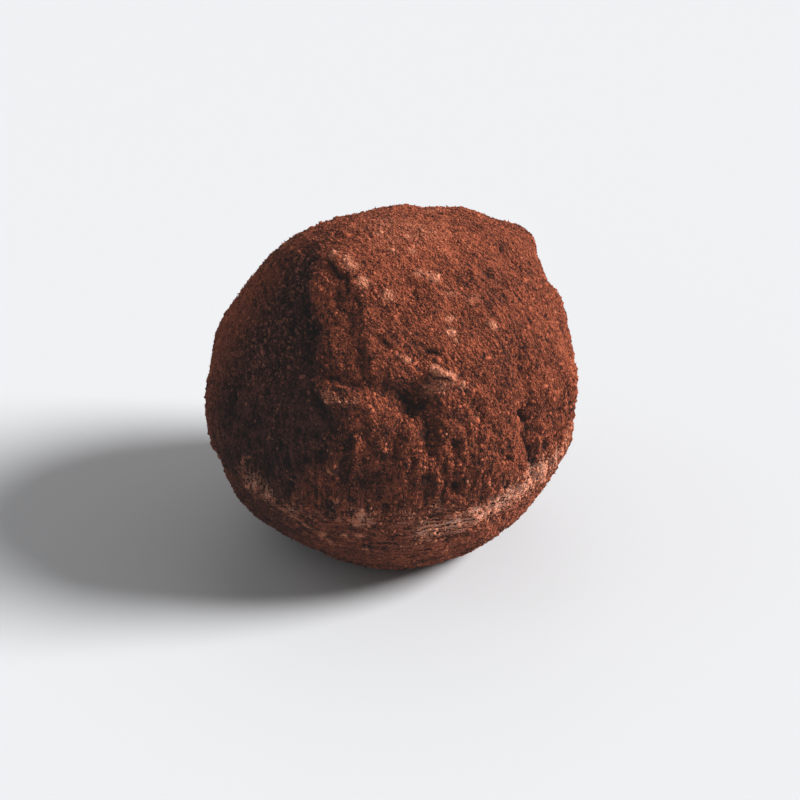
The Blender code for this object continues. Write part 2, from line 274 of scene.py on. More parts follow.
# fine marks that only the coat carries, too small for the solid
CRACKS = (
    Stroke(Mark.GROOVE, 0.17, 0.50,
           ((-53, 66), (-48, 65.5), (-43, 64.5), (-38, 63), (-33, 61.5), (-28, 61.3), (-25, 59.5),
            (-23, 57), (-22, 56))),
    Stroke(Mark.GROOVE, 0.22, 0.16, ((-20, 56.3), (-18, 55.5), (-15, 53), (-13.8, 50))),
    Stroke(Mark.GROOVE, 0.30, 0.20, ((-13, 45), (-11, 42), (-10.5, 38), (-8.5, 34))),
    Stroke(Mark.GROOVE, 0.42, 0.08, ((-10, 35), (-6, 32.5), (-1, 30.5), (4, 28.5))),
    Stroke(Mark.GROOVE, 0.55, 0.28, ((2, 28.5), (6, 27), (9, 25), (12, 23))),
    Stroke(Mark.GROOVE, 0.45, 0.16, ((6, 25), (6.5, 21.5), (8.5, 19.5), (11, 18.5), (14, 17.3))),
    Stroke(Mark.GROOVE, 0.35, 0.06, ((12, 16), (11.5, 12), (13, 8.5))),
    Stroke(Mark.GROOVE, 0.17, 0.25, ((-25, 32), (-20, 31.5), (-15, 30.5), (-10, 30))),
    Stroke(Mark.GROOVE, 0.16, 0.25, ((14, 40), (16, 39.2), (19, 39))),
    Stroke(Mark.GROOVE, 0.20, 0.30, ((15.5, 34), (17, 31.8), (20, 30))),
    Stroke(Mark.GROOVE, 0.16, 0.28, ((29, 21.5), (29, 20), (28.5, 17.5))),
    Stroke(Mark.GROOVE, 0.20, 0.30, ((44, 9), (45, 5), (46.5, 1), (48, -5))),
    Stroke(Mark.GROOVE, 0.16, 0.25, ((37.5, -2), (37.5, -5), (37, -8))),
    Stroke(Mark.GROOVE, 0.18, 0.25, ((18, -24), (22, -23), (26, -21.5))),
    Stroke(Mark.GROOVE, 0.14, 0.22, ((-39, 8), (-39, 5), (-38, 2))),
    Stroke(Mark.GROOVE, 0.20, 0.12, ((11.5, 15), (11, 11), (13, 8))),
    Stroke(Mark.GROOVE, 0.20, 0.35, ((168, 56), (175, 41), (-173, 29))),
    Stroke(Mark.GROOVE, 0.16, 0.30, ((-121, 41), (-113, 26), (-117, 14), (-115, 8))),
    Stroke(Mark.GROOVE, 0.16, 0.25, ((104, 12), (108, 5), (107, -3))),
    Stroke(Mark.GROOVE, 0.16, 0.25, ((-150, 62), (-141, 58), (-135, 60))),
)

# small steep holes
PITS = (
    Knob(45.5, 13.6, 0.34, -0.45), Knob(46.8, 11.6, 0.32, -0.45), Knob(60, -0.5, 0.28, -0.40),
    Knob(19.5, -3, 0.40, -0.40), Knob(36, 3, 0.30, -0.30), Knob(42, 43.5, 0.30, -0.25),
    Knob(-22, 6, 0.45, -0.30), Knob(-44, 50, 0.55, -0.30), Knob(-32, 44, 0.45, -0.30),
    Knob(-1, -8.5, 0.40, -0.25), Knob(62, 56, 0.45, -0.25), Knob(75, 20, 0.30, -0.30),
    Knob(120, 20, 0.40, -0.35), Knob(146, -4, 0.45, -0.40), Knob(178, 18, 0.45, -0.35),
    Knob(-158, 6, 0.40, -0.35), Knob(-130, 17, 0.50, -0.40), Knob(-100, 30, 0.40, -0.30),
)

# soft hollows, drawn out along the strands, where painted shade darkens the coat
HOLLOWS = (
    Zone(1, 25, 0.9, 0.7), Zone(12, 21, 0.8, 0.8), Zone(16, 20, 0.7, 0.5), Zone(4, 19, 0.8, 0.6),
    Zone(5, 27, 1.1, 1.0), Zone(9, 25, 1.1, 1.0), Zone(8, 21.5, 0.8, 0.9), Zone(13, 18, 0.7, 0.4),
    Zone(-4, 33, 0.8, 0.4), Zone(-9, 37, 0.7, 0.4), Zone(-1, 30, 0.9, 0.7),
    Zone(46, 46, 0.9, 0.8), Zone(40, 44, 0.8, 0.7), Zone(12, 41, 0.7, 0.7), Zone(44, 30, 0.9, 0.8),
    Zone(49, 26, 0.8, 0.7), Zone(56, 50, 1.0, 0.8), Zone(64, 52, 0.9, 0.9), Zone(24, 21, 0.8, 0.5),
    Zone(-6, 50, 0.7, 0.5), Zone(-4, 44, 0.7, 0.6), Zone(30, 30, 0.6, 0.4), Zone(8, 64, 0.8, 0.5),
    Zone(48, 8, 0.6, 0.8), Zone(47, 0, 0.6, 0.8), Zone(44, 20, 0.6, 0.6), Zone(34, 12, 0.6, 0.5),
    Zone(-22, 24, 0.9, 0.6), Zone(-18, 14, 1.0, 0.7), Zone(-8, 18, 0.7, 0.6), Zone(3, 14, 0.7, 0.6),
    Zone(150, 40, 1.4, 0.7), Zone(-120, 45, 1.2, 0.7), Zone(110, 15, 1.0, 0.7),
)

# narrow torn lips that stand up from the coat
LIPS = (
    Stroke(Mark.RIDGE, 0.32, 0.24, ((15, 35), (17.5, 33.2), (20, 31.8), (22.5, 30.2))),
    Stroke(Mark.RIDGE, 0.18, 0.16, ((2, 39.6), (5, 38.4), (7, 36.8))),
    Stroke(Mark.RIDGE, 0.22, 0.16, ((-38, 69), (-33, 67), (-28, 65), (-25, 63.5))),
    Stroke(Mark.RIDGE, 0.20, 0.12, ((-22, 63), (-17, 60.5), (-13, 59))),
    Stroke(Mark.RIDGE, 0.20, 0.12, ((-53, 68.5), (-48, 67.5), (-45, 66.8))),
    Stroke(Mark.RIDGE, 0.20, 0.12, ((-24, 26.5), (-18, 26), (-13, 25.4), (-8, 25))),
    Stroke(Mark.RIDGE, 0.18, 0.14, ((-5, 14), (-4.2, 9), (-5, 4))),
    Stroke(Mark.RIDGE, 0.18, 0.14, ((0, 13), (1, 8), (0.5, 3))),
    Stroke(Mark.RIDGE, 0.16, 0.12, ((14.5, 20), (17, 18), (18, 16))),
    Stroke(Mark.RIDGE, 0.16, 0.14, ((22, 15), (23, 9), (22.5, 4))),
    Stroke(Mark.RIDGE, 0.16, 0.12, ((-4, 44.5), (0, 42.5), (3, 41))),
    Stroke(Mark.RIDGE, 0.16, 0.12, ((33, -9), (34, -13), (34, -16))),
)

# rubbed lines, where the cocoa is pale
WORN_LINES = (
    Stroke(Mark.RIDGE, 0.34, 0.95, ((15, 35), (17.5, 33.2), (20, 31.8), (23, 30))),
    Stroke(Mark.RIDGE, 0.20, 0.6, ((2, 39.6), (5, 38.4), (7, 36.8))),
    Stroke(Mark.RIDGE, 0.34, 0.9, ((-38, 69), (-33, 67), (-28, 65), (-25, 63.5))),
    Stroke(Mark.RIDGE, 0.26, 0.5, ((-24, 26.5), (-18, 26), (-13, 25.4), (-8, 25))),
    Stroke(Mark.RIDGE, 0.22, 0.5, ((20, 67), (19, 64), (24, 62.5), (29, 61.5))),
    Stroke(Mark.RIDGE, 0.20, 0.45, ((-30, 82), (-10, 80.5), (5, 80))),
    Stroke(Mark.RIDGE, 0.16, 0.35, ((-38, 25), (-38.5, 18), (-40, 11), (-42, 3))),
    Stroke(Mark.RIDGE, 0.18, 0.60, ((-47, -1), (-51, -4), (-50.5, -12), (-49, -19))),
    Stroke(Mark.RIDGE, 0.15, 0.6, ((-46, -6), (-43.5, -8), (-43, -11), (-40, -13.5), (-37, -14.5))),
    Stroke(Mark.RIDGE, 0.19, 0.6,
           ((-41, -14), (-35, -16), (-31, -18), (-27, -20), (-24, -22), (-21, -25), (-18, -28))),
    Stroke(Mark.RIDGE, 0.14, 0.45, ((-35, -3), (-32, -5), (-30, -7))),
    Stroke(Mark.RIDGE, 0.16, 0.55, ((17, -32), (21, -31), (25, -29), (28, -27))),
    Stroke(Mark.RIDGE, 0.18, 0.50, ((20, -21.5), (25, -20.5), (30, -19))),
    Stroke(Mark.RIDGE, 0.16, 0.45, ((-2, -24), (5, -24.5), (11, -23))),
    Stroke(Mark.RIDGE, 0.16, 0.50, ((60, -14), (63, -10), (66, -5))),
)

# where the crumbs are coarse
COARSE = (
    Zone(66, 12, 6.0, 0.5), Zone(100, 30, 5.0, 0.5),
    Zone(4, 28, 2.2, 0.2), Zone(12, 22, 2.0, 0.3), Zone(-52, 28, 3.0, 1.0), Zone(-62, 52, 3.5, 1.0),
    Zone(-60, 42, 6.0, 1.0), Zone(-46, 34, 4.0, 0.8), Zone(-75, 52, 4.0, 0.5),
    Zone(4, 10, 5.5, 0.8), Zone(16, 16, 4.0, 0.6), Zone(-12, 13, 2.5, 0.6),
    Zone(170, 20, 6.0, 0.7), Zone(-130, 30, 5.0, 0.7), Zone(26, -26, 5.0, 1.5),
    Zone(60, -20, 4.0, 1.0),
)

# where the cocoa is smeared smooth
SMOOTH = (
    Zone(-21, 37, 2.3, 1.0), Zone(-15, 39, 1.6, 0.9), Zone(-8, 0, 2.4, 0.8),
    Zone(-36, 12, 4.5, 0.7), Zone(-32, -2, 4.5, 0.7), Zone(15, 28, 1.0, 0.8),
    Zone(-35, 62, 0.8, 0.4), Zone(16, 44, 1.6, 0.5), Zone(140, 30, 3.5, 0.6),
    Zone(-160, 0, 4.0, 0.6),
)

# the edge of the flank's painted shade, along the torn border where the coat turns away from the
# key light, from the top down: (elevation, azimuth)
FLANK_BORDER = (
    (-30, -20), (-14, -30), (-6, -26), (2, -21), (8, -17), (14, -14), (18, -14), (20.5, -15),
    (22.5, -18), (25, -21), (28, -24), (33, -25.5), (37, -28), (43, -29), (46, -31), (50, -38),
    (53, -44), (57, -48), (63, -53), (70, -75), (76, -110),
)

# where the coat is darkened, partly pressed thin cocoa and partly painted shade
PRESSED_AND_SHADED = (
    Zone(-8, 0, 2.6, 0.5),
    Zone(-50, -28, 8.0, 0.8), Zone(-22, -38, 6.0, 0.5),
    Zone(-150, -5, 7.0, 0.6), Zone(150, 5, 5.0, 0.4),
)

# worn lumps and lips, where the cocoa is pale
WORN = (
    Zone(-49, 67.5, 0.50, 0.9), Zone(-34, 67, 0.55, 0.9), Zone(-27, 65, 0.50, 1.0),
    Zone(-16, 60.5, 0.50, 1.0), Zone(-1.5, 58, 0.60, 0.7), Zone(19, 65, 0.45, 0.8),
    Zone(25, 64, 0.4, 0.7), Zone(22, 73, 0.40, 0.7), Zone(29, 62, 0.45, 0.9),
    Zone(27, 48.5, 0.35, 0.9), Zone(25, 44, 0.45, 1.0), Zone(26, 41.5, 0.30, 0.7),
    Zone(44, 42.5, 0.40, 1.0), Zone(29, 80, 0.35, 0.9), Zone(16, 34.8, 0.40, 1.0),
    Zone(24, 28.6, 0.50, 0.6), Zone(14, 29.5, 0.90, 0.50), Zone(17, 29, 0.70, 0.55),
    Zone(19, 29.5, 0.7, 0.5),
    Zone(-20, 26, 0.7, 0.45), Zone(-12, 25, 0.7, 0.4), Zone(6, 37.5, 0.35, 0.8),
    Zone(-22, 82, 0.9, 0.5), Zone(2, 74, 0.5, 0.6), Zone(10, 86, 3.5, 0.35),
    Zone(60, 80, 3.0, 0.35), Zone(33, 56, 0.7, 0.4), Zone(43, 52, 0.8, 0.4),
    Zone(29, 18.3, 0.25, 0.7), Zone(23, -1, 0.16, 1.0), Zone(-18, 3.5, 0.35, 0.6),
    Zone(-41, -13, 0.50, 0.5), Zone(-46, -12, 0.60, 0.45), Zone(-34, -15, 0.30, 0.5),
    Zone(-16, -6, 0.30, 0.7), Zone(-12, -9, 0.35, 0.8), Zone(-9, -10.5, 0.45, 0.9),
    Zone(-10, -14, 0.50, 1.0), Zone(-10, -20, 0.40, 0.8), Zone(-15, -21, 0.35, 0.8),
    Zone(-22, -22, 0.35, 0.8), Zone(-8, -27, 0.30, 0.7), Zone(-16, -14, 0.35, 0.6),
    Zone(150, 62, 0.8, 0.6), Zone(-150, 45, 0.7, 0.6), Zone(172, 50, 0.8, 0.6),
    Zone(-100, 55, 0.6, 0.6), Zone(120, 10, 0.4, 0.4), Zone(-140, 20, 0.6, 0.5),
    Zone(88, 30, 0.4, 0.6), Zone(-170, 34, 0.6, 0.8),
)

# where the coat is darker and duller
DARKER = (
    Zone(-22, 48, 2.6, 1.0), Zone(-22, 37, 2.6, 1.4), Zone(-17, 24, 2.2, 0.8), Zone(8, 8, 4.0, 0.1),
    Zone(-8, 12, 3.0, 0.8), Zone(36, 34, 2.5, 0.5), Zone(-24, -5, 4.0, 0.5),
)

# where the coat is lighter: a painted rim light along the left edge, and lighter patches elsewhere
LIGHTER = (
    Zone(-86, 22, 5.0, 1.4), Zone(-86, -2, 5.0, 1.2), Zone(-78, 48, 4.0, 0.5),
    Zone(10, 82, 6.0, 1.3), Zone(-20, 70, 3.0, 0.6), Zone(75, 14, 5.0, 0.5),
    Zone(24, -27, 4.5, 1.1), Zone(45, -24, 4.0, 0.8), Zone(170, 60, 5.0, 0.6),
)

# brushed patches on the ring
BRUSHED = (
    Zone(46, -10, 1.8, 1.0), Zone(40, -11.5, 1.7, 1.0), Zone(34, -14, 1.4, 1.0),
    Zone(53, -8.5, 1.6, 1.0), Zone(60, -7.5, 1.4, 0.9), Zone(66, -4, 1.1, 0.7),
    Zone(27, -15, 1.3, 0.9), Zone(20, -17, 1.6, 0.8), Zone(12, -18, 1.6, 0.8),
    Zone(14, -10, 1.0, 0.5), Zone(4, -13, 1.3, 0.5), Zone(-8, -12, 1.5, 0.6),
    Zone(-41, -13, 1.3, 0.60), Zone(-48, -11, 1.5, 0.60), Zone(-34, -15, 1.1, 0.50),
    Zone(76, -8, 1.3, 0.5), Zone(88, -11, 1.6, 0.4), Zone(105, -12, 2.2, 0.45),
    Zone(125, -13, 2.0, 0.4), Zone(145, -12, 1.8, 0.35), Zone(165, -12, 2.2, 0.45),
    Zone(-170, -13, 2.0, 0.35), Zone(-150, -12, 2.0, 0.45), Zone(-120, -13, 2.4, 0.45),
    Zone(-95, -14, 1.8, 0.4), Zone(-72, -14, 1.8, 0.35),
)


@dataclass
class BallForm:
    """The truffle's form: a rule for the radius in any direction from the middle of the ball."""

    ball_radius: float = 14.95 * MM
    centre: tuple[float, float, float] = (0.03 * MM, -0.26 * MM, 12.2 * MM)
    sharpness: float = 46.0
    bowl_slope: float = 50.0
    bowl_distance: float = 14.75 * MM
    ring_latitude: float = -12.5
    ring_waves: tuple[Wave, ...] = (Wave(1.8, 2.0, 0.6), Wave(1.2, 5.0, 0.0))
    ring_fade: float = 6.0
    coat_step: float = 0.18 * MM
    peak: Knob = Knob(126, 40, 4.2, 4.4)
    coat_lumps: tuple[Lumps, ...] = (Lumps(4.0, 0.16, 3), Lumps(1.9, 0.14, 5))
    wander: tuple[Lumps, ...] = (Lumps(2.6, 0.45, 21), Lumps(1.1, 0.22, 41))
    jitter: tuple[Lumps, ...] = (Lumps(1.4, 0.22, 23), Lumps(0.6, 0.16, 43))
    fine_lumps: tuple[Lumps, ...] = (Lumps(0.75, 0.07, 11), Lumps(0.38, 0.11, 13))
    crumbs: tuple[Lumps, ...] = (Lumps(1.35, 0.17, 61), Lumps(0.70, 0.18, 67))
    grain_bed: float = 0.08 * MM
    clumps: Drawn = Drawn(0.80, 2.8, 0.38, 81)
    upright: Drawn = Drawn(0.46, 1.8, 0.12, 83)
    streaks: Drawn = Drawn(2.8, 0.42, 0.15, 87)
    low_gaps: Drawn = Drawn(1.3, 2.6, 0.32, 71)
    slant: tuple[float, float, float] = (0.64, -0.39, -0.66)
    slant_draw: float = 3.0
    slant_strands: Lumps = Lumps(0.55, 0.12, 85)
    slant_gaps: Lumps = Lumps(1.5, 0.22, 73)
    gap_shade_depth: float = 0.42 * MM
    low_top: float = 26.0
    low_fade: float = 16.0
    flank_strength: float = 0.92
    flank_lost_behind: float = 0.8
    flank_lost_on_bowl: float = 0.45
    furrow_seed: int = 77
    coarse_seed: int = 91
    ring_seed: int = 95

    def away(self, directions: np.ndarray, azimuth: float, elevation: float) -> np.ndarray:
        """Distance along the ball from a named direction, in millimetres."""
        cosine = np.clip(directions @ toward(azimuth, elevation), -1.0, 1.0)
        return np.arccos(cosine) * self.ball_radius / MM

    def lumps_on(self, directions: np.ndarray, lumps: Lumps, shift: int = 0) -> np.ndarray:
        """The noise of one lump size over the ball, in metres."""
        points = directions * (self.ball_radius / MM / lumps.wavelength)
        return lumps.height * MM * noise(points, lumps.seed + shift)

    def wandered(self, directions: np.ndarray, by: tuple[Lumps, ...]) -> np.ndarray:
        """Directions nudged by noise, so that no edge runs as a clean line.

        Args:
            directions: unit directions, one per row.
            by: the sizes of the nudges.

        Returns:
            The nudged unit directions.
        """
        nudge = sum(
            np.stack([self.lumps_on(directions, lumps, 7 * axis) for axis in range(3)], axis=-1)
            for lumps in by
        )
        moved = directions + nudge / self.ball_radius
        return moved / np.linalg.norm(moved, axis=1, keepdims=True)

    def pressed(self, directions: np.ndarray) -> np.ndarray:
        """The radius of the ball with its peak, flats and bowl.

        The smallest of the ball, the planes and the cone is taken softly: each limit d is summed
        as d^-k and the sum is raised to -1/k, so edges come out slightly round.

        Args:
            directions: unit directions, one per row.

        Returns:
            The radius in metres, one per row.
        """
        reach = self.away(directions, self.peak.azimuth, self.peak.elevation) / self.peak.size
        ball = self.ball_radius + self.peak.height * MM * np.exp(-reach ** 2)
        total = (self.ball_radius / ball) ** self.sharpness
        for flat in FLATS:
            facing = np.clip(directions @ toward(flat.azimuth, flat.elevation), 0.0, None)
            total += (facing * self.ball_radius / (flat.distance * MM)) ** self.sharpness
        slope = np.radians(self.bowl_slope)
        out = np.hypot(directions[:, 0], directions[:, 1])
        facing = np.clip(out * np.cos(slope) - directions[:, 2] * np.sin(slope), 0.0, None)
        total += (facing * self.ball_radius / self.bowl_distance) ** self.sharpness
        return self.ball_radius * total ** (-1.0 / self.sharpness)

    def path_line(self, path: tuple[tuple[float, float], ...]) -> np.ndarray:
        """Closely spaced directions along a path, its corners eased by averaging neighbours."""
        corners = toward(*np.array(path, dtype=float).T)
        steps = np.linspace(0.0, 1.0, 9)[:-1, None]
        runs = [a * (1.0 - steps) + b * steps for a, b in zip(corners[:-1], corners[1:])]
        line = np.concatenate(runs + [corners[-1:]])
        for _ in range(4):
            line[1:-1] = (line[:-2] + 2.0 * line[1:-1] + line[2:]) / 4.0
        return line / np.linalg.norm(line, axis=1, keepdims=True)

    def stroke_height(self, directions: np.ndarray, stroke: Stroke) -> np.ndarray:
        """The height a stroke adds: its cross profile at the nearest path point, faded at its ends.

        Args:
            directions: unit directions, one per row.
            stroke: the mark to lay down.

        Returns:
            The height in metres, one per row.
        """
        line = self.path_line(stroke.path)
        run = np.gradient(line, axis=0)
        run /= np.linalg.norm(run, axis=1, keepdims=True)
        left = np.cross(line, run)
        middle = line.mean(axis=0) / np.linalg.norm(line.mean(axis=0))
        spread = np.arccos((line @ middle).min()) + 0.7
        height = np.zeros(len(directions))
        near = np.nonzero(directions @ middle > np.cos(spread))[0]
        close = directions[near]
        nearest = np.argmax(close @ line.T, axis=1)
        scale = self.ball_radius / (stroke.width * MM)
        side = (close * left[nearest]).sum(axis=1) * scale
        along = (close * run[nearest]).sum(axis=1) * scale
        part = np.linspace(0.0, 1.0, len(line))
        taper = 0.25 + 0.75 * blend(part / 0.15) * blend((1.0 - part) / 0.15)
        if stroke.kind is Mark.SCARP:
            lip = 0.5 * (1.0 + np.tanh(1.4 * side))
            lip *= np.exp(-np.clip(side, 0.0, None) * stroke.width / 2.6)
            profile = lip - 0.45 * np.exp(-((side + 1.1) / 1.1) ** 2)
        elif stroke.kind is Mark.RIDGE:
            profile = np.exp(-side ** 2)
        else:
            profile = -np.exp(-side ** 2)
        height[near] = stroke.height * MM * profile * np.exp(-along ** 2) * taper[nearest]
        return height

    def furrow_height(self, directions: np.ndarray, marks: Furrows) -> np.ndarray:
        """Furrows: noise drawn out along the height, inside a patch that fades at its edge."""
        azimuth, elevation = angles_of(directions)
        azimuth = (azimuth - marks.azimuth + 180.0) % 360.0 - 180.0
        elevation = elevation - marks.elevation
        patch = np.exp(-(azimuth / marks.half_width) ** 4 - (elevation / marks.half_height) ** 4)
        reach = self.ball_radius / MM
        across = np.radians(azimuth) * reach / marks.spacing
        down = np.radians(elevation) * reach / marks.length
        furrow = noise(np.stack([across, down, across * 0.3], axis=-1), self.furrow_seed)
        return marks.depth * MM * patch * furrow

    def above_ring(self, directions: np.ndarray) -> np.ndarray:
        """How far a direction lies above the wavy ring round the ball, in degrees."""
        azimuth, elevation = angles_of(directions)
        turn = np.radians(azimuth)
        edge = np.full(len(directions), self.ring_latitude)
        for wave in self.ring_waves:
            edge += wave.height * np.sin(wave.count * turn + wave.phase)
        return elevation - edge

    def zones(self, directions: np.ndarray, zones: tuple[Zone, ...]) -> np.ndarray:
        """The strongest of some round patches at each direction, from 0 to 1."""
        level = np.zeros(len(directions))
        for zone in zones:
            reach = self.away(directions, zone.azimuth, zone.elevation) / zone.size
            level = np.maximum(level, zone.strength * np.exp(-reach ** 2))
        return level

    def bowl(self, directions: np.ndarray) -> np.ndarray:
        """1 on the rubbed bowl under the ring, 0 on the crumbly coat above it."""
        return blend(-self.above_ring(directions) / self.ring_fade + 0.5)

    def crumbliness(self, directions: np.ndarray) -> np.ndarray:
        """How coarse the coat is, from 0.1 on rubbed ground to 1.6 among the coarse crumbs."""
        level = 0.55 + 0.35 * noise(directions * 4.0, self.coarse_seed)
        level += 0.9 * self.zones(directions, COARSE)
        calm = np.maximum(self.zones(directions, SMOOTH), 0.55 * self.bowl(directions))
        return np.clip(level * (1.0 - calm), 0.1, 1.6)

    def shaded_flank(self, directions: np.ndarray) -> np.ndarray:
        """The painted shade of the left flank, which faces away from the key light, from 0 to its
        full strength.

        It rises smoothly past the torn border, over a width of 1.6 mm at mid height that grows
        to 6.6 mm below and 3.6 mm near the top, and fades toward the back and on the bowl.

        Args:
            directions: unit directions, one per row.

        Returns:
            How dark the flank's painted shade is, one value per row.
        """
        azimuth, elevation = angles_of(directions)
        heights, border = np.array(FLANK_BORDER, dtype=float).T
        past = np.interp(elevation, heights, border) - azimuth
        reach = self.ball_radius / MM * np.cos(np.radians(elevation))
        width = 1.6 + 5.0 * blend((26.0 - elevation) / 22.0)
        width += 2.0 * blend((elevation - 55.0) / 15.0)
        edge = blend(np.radians(past) * reach / width + 0.5) * (azimuth < 60.0)
        behind = blend((-azimuth - 58.0) / 35.0)
        kept = 1.0 - self.flank_lost_behind * behind
        on_bowl = 1.0 - self.flank_lost_on_bowl * self.bowl(directions)
        return self.flank_strength * edge * kept * on_bowl

    def rubbed(self, directions: np.ndarray) -> np.ndarray:
        """1 where the coat is darkened: painted shade on the flank and bowl, partly pressed cocoa;
        0 elsewhere.
        """
        level = np.maximum(self.shaded_flank(directions), self.zones(directions, PRESSED_AND_SHADED))
        return np.maximum(level, 0.3 * self.bowl(directions))

    def lift(self, directions: np.ndarray) -> np.ndarray:
        """How much lighter the coat is than its usual brown, with a painted rim light at the left
        edge: less than 0 where it is darker.
        """
        return self.zones(directions, LIGHTER) - 0.5 * self.zones(directions, DARKER)

    def low(self, directions: np.ndarray) -> np.ndarray:
        """1 on the lower half of the coat, where strands stand upright, 0 on the upper."""
        height = np.degrees(np.arcsin(np.clip(directions[:, 2], -1.0, 1.0)))
        return blend((self.low_top - height) / self.low_fade)

    def strands(self, directions: np.ndarray) -> np.ndarray:
        """The way the coat was drawn: slanted above, upright below, round the ball on the bowl."""
        low = self.low(directions)[:, None]
        bowl = self.bowl(directions)[:, None]
        level = np.stack([-directions[:, 1], directions[:, 0], 0.0 * directions[:, 0]], axis=1)
        drawn = (1.0 - low) * np.array(self.slant) + low * np.array([0.0, 0.0, -1.0])
        drawn = (1.0 - bowl) * drawn + bowl * level
        drawn = drawn - (drawn * directions).sum(axis=1, keepdims=True) * directions
        return drawn / np.maximum(np.linalg.norm(drawn, axis=1, keepdims=True), 1e-6)

    def slanted(self, directions: np.ndarray, lumps: Lumps) -> np.ndarray:
        """Noise from -1 to 1 drawn out along the slanted axis: squeezed along it when read."""
        axis = np.array(self.slant) / np.linalg.norm(self.slant)
        along = (directions @ axis)[:, None] * axis
        squeezed = directions - along * (1.0 - 1.0 / self.slant_draw)
        return noise(squeezed * (self.ball_radius / MM / lumps.wavelength), lumps.seed)

    def base_radius(self, directions: np.ndarray, moved: np.ndarray) -> np.ndarray:
        """The radius with every mark that the solid also has, in metres."""
        radius = self.pressed(directions)
        for knob in KNOBS:
            where = directions if knob.size > 2.0 else moved
            reach = self.away(where, knob.azimuth, knob.elevation) / knob.size
            radius += knob.height * MM * np.exp(-reach ** 2)
        for stroke in STROKES:
            radius += self.stroke_height(moved, stroke)
        for marks in DRAG_MARKS:
            radius += self.furrow_height(moved, marks)
        radius -= self.coat_step * (self.bowl(moved) - 0.5)
        for lumps in self.coat_lumps:
            radius += self.lumps_on(directions, lumps)
        return radius

    def stretched(self, directions: np.ndarray, drawn: Drawn) -> np.ndarray:
        """Noise from -1 to 1 with its own wavelengths across and down the ball."""
        reach = self.ball_radius / MM
        sizes = np.array([drawn.across, drawn.across, drawn.down])
        return noise(directions * (reach / sizes), drawn.seed)

    def marks(self, crisp: np.ndarray) -> np.ndarray:
        """Thin cracks, steep pits (a Gaussian of the fourth power) and narrow lips, in metres."""
        height = np.zeros(len(crisp))
        for stroke in CRACKS + LIPS:
            height += self.stroke_height(crisp, stroke)
        for pit in PITS:
            reach = self.away(crisp, pit.azimuth, pit.elevation) / pit.size
            height += pit.height * MM * np.exp(-reach ** 4)
        return height

    def fine_relief(self, directions: np.ndarray, crisp: np.ndarray) -> np.ndarray:
        """Crumbs, drawn strands, the bowl's layered streaks, hollows and fine marks, in metres.

        Crumbs are the size of a noise, whatever its sign, so they have round tops and sharp
        gaps. The coat's coarseness scales them, most on the low half and on the shaded left flank.
        Clumps and strands are noise drawn out down the ball below and along a slanted axis
        above. The bowl's streaks are drawn out round it. Gaps sink all of these.

        Args:
            directions: unit directions, one per row.
            crisp: the same directions after a small jitter.

        Returns:
            The height in metres, one per row.
        """
        coarse = self.crumbliness(directions)
        bowl = self.bowl(crisp)
        low = self.low(crisp)
        rough = self.shaded_flank(crisp) * (1.0 - low)
        height = self.marks(crisp) - self.grain_bed
        for lumps in self.crumbs:
            folded = np.abs(self.lumps_on(crisp, lumps)) * 2.0 - 0.5 * lumps.height * MM
            height += coarse * folded * (0.35 + 0.65 * low + 1.1 * rough)
        for lumps in self.fine_lumps:
            height += self.lumps_on(crisp, lumps) * (0.45 + 0.55 * coarse)
        clumps = self.clumps.height * coarse * self.stretched(crisp, self.clumps)
        upright = self.upright.height * self.stretched(crisp, self.upright)
        height += low * (1.0 - bowl) * MM * (clumps + upright)
        slant = self.slant_strands.height * MM * self.slanted(crisp, self.slant_strands)
        height += (1.0 - low) * slant
        streaks = self.streaks.height * MM * self.stretched(crisp, self.streaks)
        height += bowl * streaks * (0.5 + 1.1 * coarse)
        deep, shallow = self.low_gaps.height, self.slant_gaps.height
        return height - (shallow + (deep - shallow) * low) * MM * self.dips(directions, crisp)

    def dips(self, directions: np.ndarray, crisp: np.ndarray) -> np.ndarray:
        """Soft hollows: the placed ones, and where drawn-out noise runs high, from 0 to 1."""
        low = self.low(crisp)
        drawn = low * self.stretched(crisp, self.low_gaps)
        drawn += (1.0 - low) * self.slanted(directions, self.slant_gaps)
        chance = blend((drawn - 0.16) / 0.34) * (0.35 + 0.65 * low)
        return np.maximum(self.zones(crisp, HOLLOWS), chance) * (1.0 - 0.6 * self.bowl(crisp))

    def radius(self, directions: np.ndarray) -> np.ndarray:
        """The whole rule, cut by the flat foot.

        Args:
            directions: unit directions, one per row.

        Returns:
            The radius in metres, one per row.
        """
        radius = self.base_radius(directions, self.wandered(directions, self.wander))
        crisp = self.wandered(directions, self.jitter)
        radius += self.fine_relief(directions, crisp)
        foot = self.centre[2] / np.clip(-directions[:, 2], 1e-6, None)
        return np.minimum(radius, foot)

    def hollow(self, directions: np.ndarray, crisp: np.ndarray) -> np.ndarray:
        """Painted shade: 1 in gaps, pits and cracks that the fine relief sinks, 0 on open ground.
        """
        sunk = -self.fine_relief(directions, crisp) - self.grain_bed
        return blend(sunk / self.gap_shade_depth + 0.02)

    def worn(self, crisp: np.ndarray) -> np.ndarray:
        """1 on lips, lumps and rubbed lines where the cocoa is pale, 0 elsewhere."""
        level = self.zones(crisp, WORN)
        for stroke in WORN_LINES:
            level = np.maximum(level, self.stroke_height(crisp, stroke) / MM)
        return level

    def ring(self, crisp: np.ndarray) -> np.ndarray:
        """The pale ring round the ball: brushed patches on a faint, patchy wavy band."""
        above = self.above_ring(crisp)
        patchy = 0.45 + 0.9 * noise(crisp * np.array([5.0, 5.0, 1.0]), self.ring_seed)
        band = 0.55 * np.exp(-((above + 1.0) / 5.0) ** 2) * patchy
        return np.clip(np.maximum(band, self.zones(crisp, BRUSHED)), 0.0, 1.0)


# Meshes from arrays

